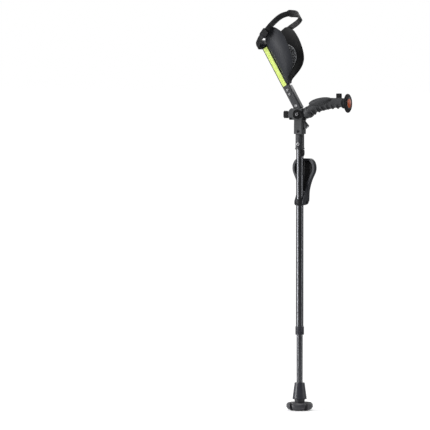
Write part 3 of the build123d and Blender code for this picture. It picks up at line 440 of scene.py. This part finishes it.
def add_piece(name, verts, faces, body, replaced=(), materials=(), face_slots=None, uvs=None):
    """Makes a smooth mesh piece, gives it its materials and ties it to a body."""
    mesh = bpy.data.meshes.new(name)
    mesh.from_pydata([tuple(v) for v in verts], [], faces)
    for material in materials:
        mesh.materials.append(material)
    if face_slots is not None:
        mesh.polygons.foreach_set("material_index", face_slots)
    all_smooth(mesh)
    if uvs is not None:
        layer = mesh.uv_layers.new(name="UVMap")
        for loop in mesh.loops:
            layer.data[loop.index].uv = uvs[loop.vertex_index]
    mesh.update()
    piece = bpy.data.objects.new(name, mesh)
    bpy.context.scene.collection.objects.link(piece)
    tie(piece, body, replaced)
    return piece


def tie(piece, body, replaced=()):
    if body:
        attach(piece, body)
    if replaced:
        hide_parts(*replaced)


def bake_modifiers(piece):
    """Replaces the piece's mesh by its evaluated one and drops its modifiers."""
    graph = bpy.context.evaluated_depsgraph_get()
    made = bpy.data.meshes.new_from_object(piece.evaluated_get(graph), preserve_all_data_layers=True,
                                           depsgraph=graph)
    piece.modifiers.clear()
    piece.data = made
    all_smooth(made)


def tidy_normals(piece):
    """Turns every face of a closed piece outward."""
    shape = bmesh.new()
    shape.from_mesh(piece.data)
    bmesh.ops.recalc_face_normals(shape, faces=shape.faces)
    shape.to_mesh(piece.data)
    shape.free()
    all_smooth(piece.data)


def spline_at(points, at):
    """A natural cubic spline through (x, value...) rows, read at the given x values."""
    rows = np.array(points, float)
    x, y = rows[:, 0], rows[:, 1:]
    step = np.diff(x)
    size = len(x)
    system = np.eye(size)
    right = np.zeros_like(y)
    for k in range(1, size - 1):
        system[k, k - 1:k + 2] = step[k - 1], 2 * (step[k - 1] + step[k]), step[k]
        right[k] = 6 * ((y[k + 1] - y[k]) / step[k] - (y[k] - y[k - 1]) / step[k - 1])
    curve = np.linalg.solve(system, right)
    at = np.atleast_1d(np.clip(at, x[0], x[-1]))
    k = np.clip(np.searchsorted(x, at) - 1, 0, size - 2)
    h = step[k][:, None]
    a = ((x[k + 1] - at)[:, None]) / h
    b = 1 - a
    bend = ((a ** 3 - a) * curve[k] + (b ** 3 - b) * curve[k + 1]) * h ** 2 / 6
    return a * y[k] + b * y[k + 1] + bend


def smooth_line(points, count):
    """Evenly spaced points on the smooth curve through the given ones."""
    p = np.array(points, float)
    reach = np.concatenate([[0], np.cumsum(np.linalg.norm(np.diff(p, axis=0), axis=1))])
    dense = spline_at(np.column_stack([reach, p]), np.linspace(0, reach[-1], 1200))
    run = np.concatenate([[0], np.cumsum(np.linalg.norm(np.diff(dense, axis=0), axis=1))])
    at = np.linspace(0, run[-1], count)
    return np.column_stack([np.interp(at, run, dense[:, k]) for k in range(3)]), run[-1]


def ramp(value, low, high):
    """0 below low, 1 above high, smooth between."""
    t = np.clip((value - low) / (high - low), 0, 1)
    return t * t * (3 - 2 * t)


def crowded(low, high, count):
    """Values from low to high, closer together towards both ends."""
    return (low + high) / 2 + (high - low) / 2 * np.sin(np.linspace(-1, 1, count) * math.pi / 2)


def grid_faces(rows, columns, start=0, closed=False, flip=False):
    faces = []
    for i in range(rows - 1):
        for j in range(columns if closed else columns - 1):
            k = (j + 1) % columns
            face = (start + i * columns + j, start + i * columns + k,
                    start + (i + 1) * columns + k, start + (i + 1) * columns + j)
            faces.append(face[::-1] if flip else face)
    return faces


def join_rims(rows, columns, flip=False):
    """Faces between the borders of two grids, the second one's points following the first's."""
    count = rows * columns
    rim = list(range(columns)) + [i * columns + columns - 1 for i in range(1, rows)]
    rim += [count - 1 - j for j in range(1, columns)] + [i * columns for i in range(rows - 2, 0, -1)]
    pairs = zip(rim, rim[1:] + rim[:1])
    return [(b, a, a + count, b + count) if flip else (a, b, b + count, a + count) for a, b in pairs]


CLOTH_FRAMES = 20
CLOTH_PRESSURE = 4.0


def puff(piece, pinned, cap):
    """Swells a closed piece with cloth under pressure; pinned points stay, the rest move up to cap mm."""
    mesh = piece.data
    rest = np.zeros(len(mesh.vertices) * 3)
    mesh.vertices.foreach_get("co", rest)
    group = piece.vertex_groups.new(name="pinned")
    group.add([int(k) for k in pinned], 1.0, "REPLACE")
    cloth = piece.modifiers.new("cloth", "CLOTH")
    cloth.settings.quality = 6
    cloth.settings.mass = 0.2
    cloth.settings.tension_stiffness = 12
    cloth.settings.bending_stiffness = 0.6
    cloth.settings.use_pressure = True
    cloth.settings.uniform_pressure_force = CLOTH_PRESSURE
    cloth.settings.vertex_group_mass = "pinned"
    cloth.settings.effector_weights.gravity = 0
    cloth.collision_settings.use_collision = False
    scene = bpy.context.scene
    for number in range(1, CLOTH_FRAMES + 1):
        scene.frame_set(number)
    graph = bpy.context.evaluated_depsgraph_get()
    moved = np.zeros_like(rest)
    piece.evaluated_get(graph).data.vertices.foreach_get("co", moved)
    piece.modifiers.remove(cloth)
    piece.vertex_groups.remove(group)
    scene.frame_set(1)
    shift = (moved - rest).reshape(-1, 3)
    length = np.linalg.norm(shift, axis=1, keepdims=True)
    shift *= np.minimum(1, cap * MM / np.maximum(length, 1e-9))
    mesh.vertices.foreach_set("co", (rest.reshape(-1, 3) + shift).ravel())
    mesh.update()


def swell(pad, pinned, cap):
    """Puffs a pad, then smooths it and bakes the result."""
    puff(pad, pinned, cap)
    smooth = pad.modifiers.new("smooth", "SUBSURF")
    smooth.levels = smooth.render_levels = 1
    bake_modifiers(pad)
    tidy_normals(pad)


# ---------------------------------------------------------------- cuff shell and pad

# all in forearm mm: TROUGH is (up, half width, depth), CUFF_FRONT (up, front), CUFF_TOP (front, up)
CUFF_BACK = 13.2
CUFF_WALL = 3.0
TROUGH = list(zip((98, 106, 116, 135, 165, 200, 235, 266), (12.5, 19, 29, 41, 49, 52, 52, 52),
                  (8, 13, 24, 44, 57, 59, 59, 59)))
CUFF_FRONT = [(95, 19), (104, 22), (111, 32), (118, 48), (130, 66), (152, 80), (180, 87), (208, 90),
              (235, 88)]
CUFF_TOP_DEPTH = 59
CUFF_FOOT = 95.6
CUFF_TOP = [(13.2, 234), (24, 241), (40, 251), (60, 257), (78, 252), (88, 235)]


def trough_point(turn, up, inset):
    """A point on the cuff's trough: turn in radians from its back line, inset in mm."""
    foot, width, depth = TROUGH[0]
    if up >= foot:
        width, depth = spline_at(TROUGH, up)[0]
    else:
        width, depth = width - (foot - up) * 0.1, depth - (foot - up) * 0.35
    front = CUFF_BACK + depth - (depth - inset) * math.cos(turn)
    return forearm(front, (width - inset) * math.sin(turn), up)


def front_turn(up):
    """How far round the wing's front edge lies at a height."""
    depth = spline_at(TROUGH, max(up, TROUGH[0][0]))[0][1]
    front = spline_at(CUFF_FRONT, up)[0][0]
    return math.acos(np.clip(1 - (front - CUFF_BACK) / depth, -1, 1))


def make_cuff():
    rows, columns = 72, 81
    top_turn = front_turn(CUFF_TOP[0][1])
    verts = []
    for i in range(rows):
        share = i / (rows - 1)
        base = CUFF_FOOT + (CUFF_TOP[0][1] - CUFF_FOOT) * share
        turn_limit = front_turn(base)
        for j in range(columns):
            w = 2 * j / (columns - 1) - 1
            front = CUFF_BACK + CUFF_TOP_DEPTH * (1 - math.cos(abs(w) * top_turn))
            rise = spline_at(CUFF_TOP, min(front, CUFF_TOP[-1][0]))[0][0] - CUFF_TOP[0][1]
            up = base + float(ramp(share, 0.4, 1.0)) * rise
            verts.append(trough_point(w * turn_limit, up, CUFF_WALL / 2))
    shell = add_piece("cuff_shell_skin", verts, grid_faces(rows, columns), "forearm", ("cuff_shell",),
                      [EXTRA["cuff_inside_shade"], LOOKS["cuff_plastic"]])
    # the wall keeps the near-black copy on the inner face and rims, painted shade inside the trough, and
    # gives the outer face the cuff plastic
    wall = shell.modifiers.new("wall", "SOLIDIFY")
    wall.thickness = (CUFF_WALL - 0.2) * MM
    wall.offset = 0
    wall.material_offset = 1
    soften(shell, 1.25, 4, 60)
    bake_modifiers(shell)
    side = [(13.3, 95.4), (19, 95.4), (19.2, 108), (18.6, 117), (16.6, 127), (13.3, 127)]
    half_widths = [11.2, 11.2, 12.6, 14.5, 15.5, 15.5]
    verts = [forearm(f, sign * w, s) for sign in (-1, 1) for (f, s), w in zip(side, half_widths)]
    count = len(side)
    faces = [tuple(range(count))[::-1], tuple(range(count, 2 * count))]
    faces += [(k, (k + 1) % count, count + (k + 1) % count, count + k) for k in range(count)]
    neck = add_piece("cuff_neck", verts, faces, "forearm", (), [LOOKS["cuff_plastic"]])
    soften(neck, 1.4, 4, 20)
    bake_modifiers(neck)


# PAD_FRONT is (up, front) and PAD_SEAM (up, distance round the trough), in mm
PAD_FRONT = [(124, 27), (132, 39), (147, 52), (172, 61), (199, 63), (215, 58), (227, 42)]
PAD_LOW = 123.8
PAD_HIGH = 226.5
PAD_INSET = 3.7
PAD_THICK = 5.4
SEAM_HALF = 2.2
SEAM_SINK = 0.62
PAD_SEAM = [(123, -4), (140, -7), (165, -10), (188, -13), (205, -26), (214, -40), (227, -44)]


def pad_limit(up):
    """Half the pad's width at a height, in radians round the trough."""
    share = (up - PAD_LOW) / (PAD_HIGH - PAD_LOW)
    depth = spline_at(TROUGH, up)[0][1]
    edge = spline_at(PAD_FRONT, up)[0][0]
    turn = math.acos(np.clip((CUFF_BACK + depth - edge) / (depth - 6.4), -1, 1))
    return turn * max(0.02, (1 - abs(2 * share - 1) ** 2.7)) ** 0.5


def make_cuff_pad():
    rows, columns = 61, 57
    heights = crowded(PAD_LOW, PAD_HIGH, rows)
    verts, uvs, pinned = [], [], []
    for layer in (0, 1):
        for i, up in enumerate(heights):
            limit = pad_limit(up)
            width = spline_at(TROUGH, up)[0][0]
            seam = spline_at(PAD_SEAM, up)[0][0]
            for j in range(columns):
                w = 2 * j / (columns - 1) - 1
                turn = w * limit
                across = math.degrees(turn) / 90 * width * 1.35
                margin = min(1.0, (1 - abs(w)) * limit * width / 7) * min(1.0, min(i, rows - 1 - i) / 5)
                lift = PAD_THICK * (1 - (1 - margin) ** 2) ** 0.5 if layer else 0
                near = abs(across - seam) < SEAM_HALF
                if near and layer:
                    lift *= SEAM_SINK
                if not layer or near or margin < 0.3:
                    pinned.append(len(verts))
                verts.append(trough_point(turn, up, PAD_INSET + lift))
                uvs.append((across, up))
    faces = grid_faces(rows, columns, 0, False, True) + grid_faces(rows, columns, rows * columns)
    faces += join_rims(rows, columns)
    pad = add_piece("cuff_pad_mesh", verts, faces, "forearm", ("cuff_pad",),
                    [LOOKS["mesh_fabric"]], None, uvs)
    swell(pad, pinned, 1.6)
    # a welted border all round and a piped line along the seam
    loop = [trough_point(pad_limit(up), up, PAD_INSET + 1.0) for up in heights]
    back = [trough_point(-pad_limit(up), up, PAD_INSET + 1.0) for up in heights[::-1]]
    tube_piece("cuff_pad_welt", loop + back, 1.25, True, "forearm", EXTRA["pad_border"])
    line = []
    for up in heights[4:-4]:
        width = spline_at(TROUGH, up)[0][0]
        turn = math.radians(spline_at(PAD_SEAM, up)[0][0] / (width * 1.35) * 90)
        if abs(turn) < pad_limit(up) * 0.93:
            line.append(trough_point(turn, up, PAD_INSET + PAD_THICK * SEAM_SINK))
    tube_piece("cuff_pad_seam", line, 0.8, False, "forearm", EXTRA["pad_border"])


def tube_piece(name, points, radius, closed, body, material, sides=8):
    """A round bead of a radius in mm along world points."""
    points = [Vector(p) for p in points]
    count = len(points)
    verts = []
    normal = None
    for k, point in enumerate(points):
        ahead = points[(k + 1) % count] if closed else points[min(k + 1, count - 1)]
        behind = points[k - 1] if closed or k else points[0]
        tangent = (ahead - behind).normalized()
        if normal is None:
            normal = tangent.orthogonal().normalized()
        normal = (normal - tangent * normal.dot(tangent)).normalized()
        other = tangent.cross(normal)
        size = radius * MM if closed else radius * MM * min(1.0, 0.3 + 0.35 * min(k, count - 1 - k))
        for side in range(sides):
            angle = 2 * math.pi * side / sides
            verts.append(point + (normal * math.cos(angle) + other * math.sin(angle)) * size)
    faces = grid_faces(count, sides, 0, True)
    if closed:
        last = (count - 1) * sides
        start_normal = verts[0] - points[0]
        shift = min(range(sides), key=lambda s: (verts[last + s] - points[-1] - start_normal).length)
        for side in range(sides):
            faces.append((last + (side + shift) % sides, last + (side + shift + 1) % sides,
                          (side + 1) % sides, side))
    else:
        faces += [tuple(range(sides))[::-1], tuple(range((count - 1) * sides, count * sides))]
    add_piece(name, verts, faces, body, (), [material])


# ---------------------------------------------------------------- strap

# lines are (front, across, up) in forearm mm; tables are (share of the length, half width)
STRAP_LINE = [(50, -61, 254), (72, -59, 262), (92, -54, 268), (112, -46, 271.5), (126, -33, 270),
              (134.5, -5, 266), (135.5, 24, 260), (126, 41, 253), (108, 50, 250), (87, 55, 250),
              (68, 58, 249), (56, 58.5, 247)]
RETURN_LINE = [(41, -61, 250.5), (30, -60, 248), (12, -49, 243), (-3, -34, 239), (-10, -12, 236)]
STRAP_TABLE = [(0, 8.5), (0.36, 8.5), (0.40, 12.5), (0.66, 12.5), (0.70, 8.5), (1, 8.5)]
RETURN_TABLE = [(0, 7.5), (1, 7.5)]
STRAP_THICK = 2.6
RETURN_THICK = 1.9
CROWN = 0.28
RIB_HEIGHT = 0.28
RIB_PITCH = 1.9
RIB_FLOOR = 0.22


def strip_frames(points, count, shift=0.0):
    """(share, centre, across the thickness, across the width) along a strap, in forearm mm."""
    line, length = smooth_line(points, count)
    frames = []
    for k in range(count):
        tangent = line[min(k + 1, count - 1)] - line[max(k - 1, 0)]
        tangent /= np.linalg.norm(tangent)
        across = np.array([tangent[1], -tangent[0], 0])
        across /= np.linalg.norm(across)
        frames.append((k / (count - 1), line[k] + across * shift, across, np.cross(tangent, across)))
    return frames, length


def make_strap(name, points, table, thick, replaced, shift=0.0, ribs=0.0, count=190):
    """A leather strap with a crowned face, painted edges and a rubber-ribbed end."""
    frames, length = strip_frames(points, count, shift)
    shares = [row[0] for row in table]
    widths = [row[1] for row in table]
    face_steps = 9
    verts, slots, uvs = [], [], []
    half_thick = thick / 2
    for share, centre, across, along_width in frames:
        half = float(np.interp(share, shares, widths))
        ribbed = share * length < ribs
        rib = RIB_HEIGHT * (0.5 + 0.5 * math.cos(share * length / RIB_PITCH * 2 * math.pi)) if ribbed else 0
        profile = []
        for k in range(face_steps):
            v = 2 * k / (face_steps - 1) - 1
            profile.append((half_thick - CROWN + CROWN * (1 - v * v) - (RIB_FLOOR - rib if ribbed else 0),
                            v * (half - 0.9)))
        profile += [(0.62 * half_thick, half - 0.25), (0, half), (-0.62 * half_thick, half - 0.25)]
        for k in range(face_steps):
            v = 1 - 2 * k / (face_steps - 1)
            profile.append((-half_thick + CROWN - CROWN * (1 - v * v), v * (half - 0.9)))
        profile += [(-0.62 * half_thick, -half + 0.25), (0, -half), (0.62 * half_thick, -half + 0.25)]
        for u, v in profile:
            verts.append(forearm(*(centre + across * u + along_width * v)))
            uvs.append((share * length, v))
    ring = len(profile)
    faces = grid_faces(count, ring, 0, True)
    edge_low, edge_high = face_steps - 1, face_steps + 3
    for i in range(count - 1):
        ribbed = (i + 1) / (count - 1) * length < ribs
        for j in range(ring):
            on_edge = edge_low <= j < edge_high or j >= 2 * face_steps + 2
            slots.append(2 if ribbed else (1 if on_edge else 0))
    faces += [tuple(range(ring))[::-1], tuple(range((count - 1) * ring, count * ring))]
    slots += [1, 1]
    add_piece(name, verts, faces, "forearm", replaced,
              [LOOKS["strap_leather"], EXTRA["edge_grey"], LOOKS["control_black"]], slots, uvs)
    return frames, length, shares, widths


def make_stitches(name, frames, length, shares, widths, start, inset, face, pitch=3.6):
    """Rows of thread stitches let into a strap's face, inset from both edges."""
    verts, faces = [], []
    line = np.array([row[1] for row in frames])
    for side in (-1, 1):
        for k in range(int((length - start - 4) / pitch)):
            at = (start + k * pitch) / length * (len(frames) - 1)
            i = int(at)
            if i + 2 >= len(frames):
                break
            share, centre, across, wide = frames[i]
            centre = line[i] + (line[i + 1] - line[i]) * (at - i)
            tangent = line[i + 1] - line[i]
            tangent /= np.linalg.norm(tangent)
            half = float(np.interp(share, shares, widths))
            start_at = centre + wide * side * (half - inset) + across * face
            first = len(verts)
            for u, size in ((-1.3, 0.12), (-0.8, 0.42), (0.8, 0.42), (1.3, 0.12)):
                for turn in range(6):
                    angle = turn * math.pi / 3
                    spot = start_at + tangent * u + (wide * math.cos(angle) + across * math.sin(angle)) * size
                    verts.append(forearm(*spot))
            faces += grid_faces(4, 6, first, True)
            faces += [tuple(range(first, first + 6))[::-1], tuple(range(first + 18, first + 24))]
    add_piece(name, verts, faces, "forearm", (), [EXTRA["thread"]])


# ---------------------------------------------------------------- handle

BEND = (44.0, 897.0)
RISE = math.radians(30)
END_RISE = math.radians(1)
BEND_RADIUS = 130.0
GRIP_START, GRIP_END = -9.0, 100.2
GRIP_RADII = ((-9, -2, 20, 45, 70, 92, 100), (17.6, 17.0, 17.0, 17.2, 16.4, 15.4, 15.2))
GRIP_BORE = 8.1
END_ROUND = 2.2
FINGER_PITCH = 17.0
FINGER_DEPTH = 4.8
BUTTON_AT = BEND_RADIUS * (RISE - END_RISE) + 20.0


def station(run):
    """Centre (x, z in mm) and rise of the handle's line, run mm after the bend's start."""
    arc = BEND_RADIUS * (RISE - END_RISE)
    rise = RISE - min(max(run, 0), arc) / BEND_RADIUS
    x = BEND[0] + BEND_RADIUS * (math.sin(RISE) - math.sin(rise))
    z = BEND[1] + BEND_RADIUS * (math.cos(rise) - math.cos(RISE))
    straight = min(run, 0) + max(run - arc, 0)
    return x + straight * math.cos(rise), z + straight * math.sin(rise), rise


def shelf_reach(x, z, direction):
    """How far from the handle's line the palm shelf's ellipsoid reaches in a direction, in mm."""
    sx, sz, rise = station(30)
    tilt = rise - math.radians(6)
    centre = np.array([sx - 1, -9.5, sz + 10.6])
    axes = np.array([38.0, 15.0, 12.0])
    turn = np.array([[math.cos(tilt), 0, math.sin(tilt)], [0, 1, 0], [-math.sin(tilt), 0, math.cos(tilt)]])
    origin = turn @ (np.array([x, 0, z]) - centre) / axes
    ray = turn @ direction / axes
    a, b, c = ray @ ray, origin @ ray, origin @ origin - 1
    inside = b * b - a * c
    return (-b + math.sqrt(inside)) / a if inside > 0 else -50.0


def round_line(rise, j, sides):
    """The j-th of a ring's directions, square to the handle's line where it rises so much."""
    angle = 2 * math.pi * j / sides
    up = np.array([-math.sin(rise), 0, math.cos(rise)])
    return angle, up * math.cos(angle) + np.array([0, -1, 0]) * math.sin(angle)


def make_grip():
    """The moulded grip: finger waves below, a palm shelf, a pocket for the button and a bore."""
    rings, sides = 190, 96
    verts = []
    for i in range(rings):
        run = GRIP_START + (GRIP_END - GRIP_START) * i / (rings - 1)
        x, z, rise = station(run)
        base = float(np.interp(run, *GRIP_RADII))
        end_gap = min(run - GRIP_START, GRIP_END - run)
        rounding = END_ROUND * (1 - math.sqrt(max(0.0, 1 - max(0.0, 1 - end_gap / END_ROUND) ** 2)))
        wave = abs(math.sin(math.pi * (run + 2.5) / FINGER_PITCH)) ** 0.9
        for j in range(sides):
            angle, direction = round_line(rise, j, sides)
            below = float(ramp(-math.cos(angle), 0.0, 0.7))
            radius = base + below * (0.8 - FINGER_DEPTH * wave)
            boss = math.exp(-((run - BUTTON_AT) / 8.5) ** 4) * float(ramp(math.cos(angle), 0.80, 0.95))
            radius += 2.0 * boss
            reach = shelf_reach(x, z, direction)
            gap = abs(radius - reach)
            radius = max(radius, reach) + math.log(1 + math.exp(-gap)) * 0.6 - 1.9 * math.exp(-gap ** 2)
            radius -= rounding
            verts.append(Vector((np.array([x, 0, z]) + direction * radius) * MM))
    faces = grid_faces(rings, sides, 0, True)
    for end, ring_start in ((GRIP_START, 0), (GRIP_END, (rings - 1) * sides)):
        x, z, rise = station(end)
        first = len(verts)
        for j in range(sides):
            direction = round_line(rise, j, sides)[1]
            verts.append(Vector((np.array([x, 0, z]) + direction * GRIP_BORE) * MM))
        for j in range(sides):
            k = (j + 1) % sides
            face = (ring_start + j, ring_start + k, first + k, first + j)
            faces.append(face if end == GRIP_END else face[::-1])
    bore_start, bore_end = rings * sides, rings * sides + sides
    for j in range(sides):
        k = (j + 1) % sides
        faces.append((bore_start + j, bore_start + k, bore_end + k, bore_end + j))
    grip = add_piece("grip_moulding", verts, faces, "handle", ("grip",),
                     [LOOKS["grip_rubber"]])
    low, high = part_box("horn_button")
    spare = 0.4 * MM
    corners = [Vector((x, y, z)) for x in (low.x - spare, high.x + spare)
               for y in (low.y - spare, high.y + spare) for z in (low.z - 3.2 * MM, high.z + 6 * MM)]
    box_faces = [(0, 1, 3, 2), (4, 6, 7, 5), (0, 4, 5, 1), (2, 3, 7, 6), (0, 2, 6, 4), (1, 5, 7, 3)]
    cutter = add_piece("button_cutter", corners, box_faces, None)
    cut = grip.modifiers.new("pocket", "BOOLEAN")
    cut.operation = "DIFFERENCE"
    cut.solver = "EXACT"
    cut.object = cutter
    bake_modifiers(grip)
    bpy.data.objects.remove(cutter)
    tidy_normals(grip)


# ---------------------------------------------------------------- knee pad

KNEE_TURN = math.radians(-15)
KNEE_LEAN = math.radians(-2)
KNEE_PIN = (15.5, 620.0)
KNEE_PAD = [(34, 11.6), (40, 12.5), (50, 12.8), (58, 13.6), (66, 17), (74, 22), (84, 27.5), (95, 31),
            (107, 30.5), (117, 23), (122.5, 11)]
KNEE_PAD_BACK = 5.3
KNEE_PAD_THICK = 4.3


def knee_point(x, y, z):
    """A point of the knee rest, in mm from its pin, y away from the tube, to world metres."""
    y, z = (y * math.cos(KNEE_LEAN) - z * math.sin(KNEE_LEAN) + KNEE_PIN[0],
            y * math.sin(KNEE_LEAN) + z * math.cos(KNEE_LEAN) + KNEE_PIN[1])
    return Vector((x * math.cos(KNEE_TURN) - y * math.sin(KNEE_TURN),
                   x * math.sin(KNEE_TURN) + y * math.cos(KNEE_TURN), z)) * MM


def make_knee_pad():
    rows, columns = 64, 41
    low, high = KNEE_PAD[0][0], KNEE_PAD[-1][0]
    heights = crowded(low, high, rows)
    verts, pinned = [], []
    for layer in (0, 1):
        for z in heights:
            half = spline_at(KNEE_PAD, z)[0][0]
            for j in range(columns):
                w = math.sin((2 * j / (columns - 1) - 1) * math.pi / 2)
                from_edge = min((1 - abs(w)) * half, z - low + 0.2, high - z + 0.2)
                margin = min(1.0, from_edge / 5.5)
                lift = KNEE_PAD_THICK * math.sqrt(1 - (1 - margin) ** 2) if layer else 0
                if not layer or margin < 0.25:
                    pinned.append(len(verts))
                verts.append(knee_point(w * half, KNEE_PAD_BACK - lift, z))
    faces = grid_faces(rows, columns) + grid_faces(rows, columns, rows * columns, False, True)
    faces += join_rims(rows, columns, True)
    pad = add_piece("knee_pad_cushion", verts, faces, "knee_support", ("knee_pad",),
                    [LOOKS["pad_cover"]])
    swell(pad, pinned, 1.4)


# ---------------------------------------------------------------- build

make_cuff()
make_cuff_pad()
make_knee_pad()
strap = make_strap("strap_band", STRAP_LINE, STRAP_TABLE, STRAP_THICK, ("strap",), ribs=24)
make_stitches("strap_stitches", *strap, start=30, inset=2.6, face=-STRAP_THICK / 2 + 0.1)
make_stitches("strap_stitches_outer", *strap, start=30, inset=2.6, face=STRAP_THICK / 2 - 0.1)
make_strap("strap_return_outer", RETURN_LINE, RETURN_TABLE, RETURN_THICK, ("strap_return",), 2.0, count=70)
make_strap("strap_return_inner", RETURN_LINE, RETURN_TABLE, RETURN_THICK, (), -2.0, count=70)
make_grip()
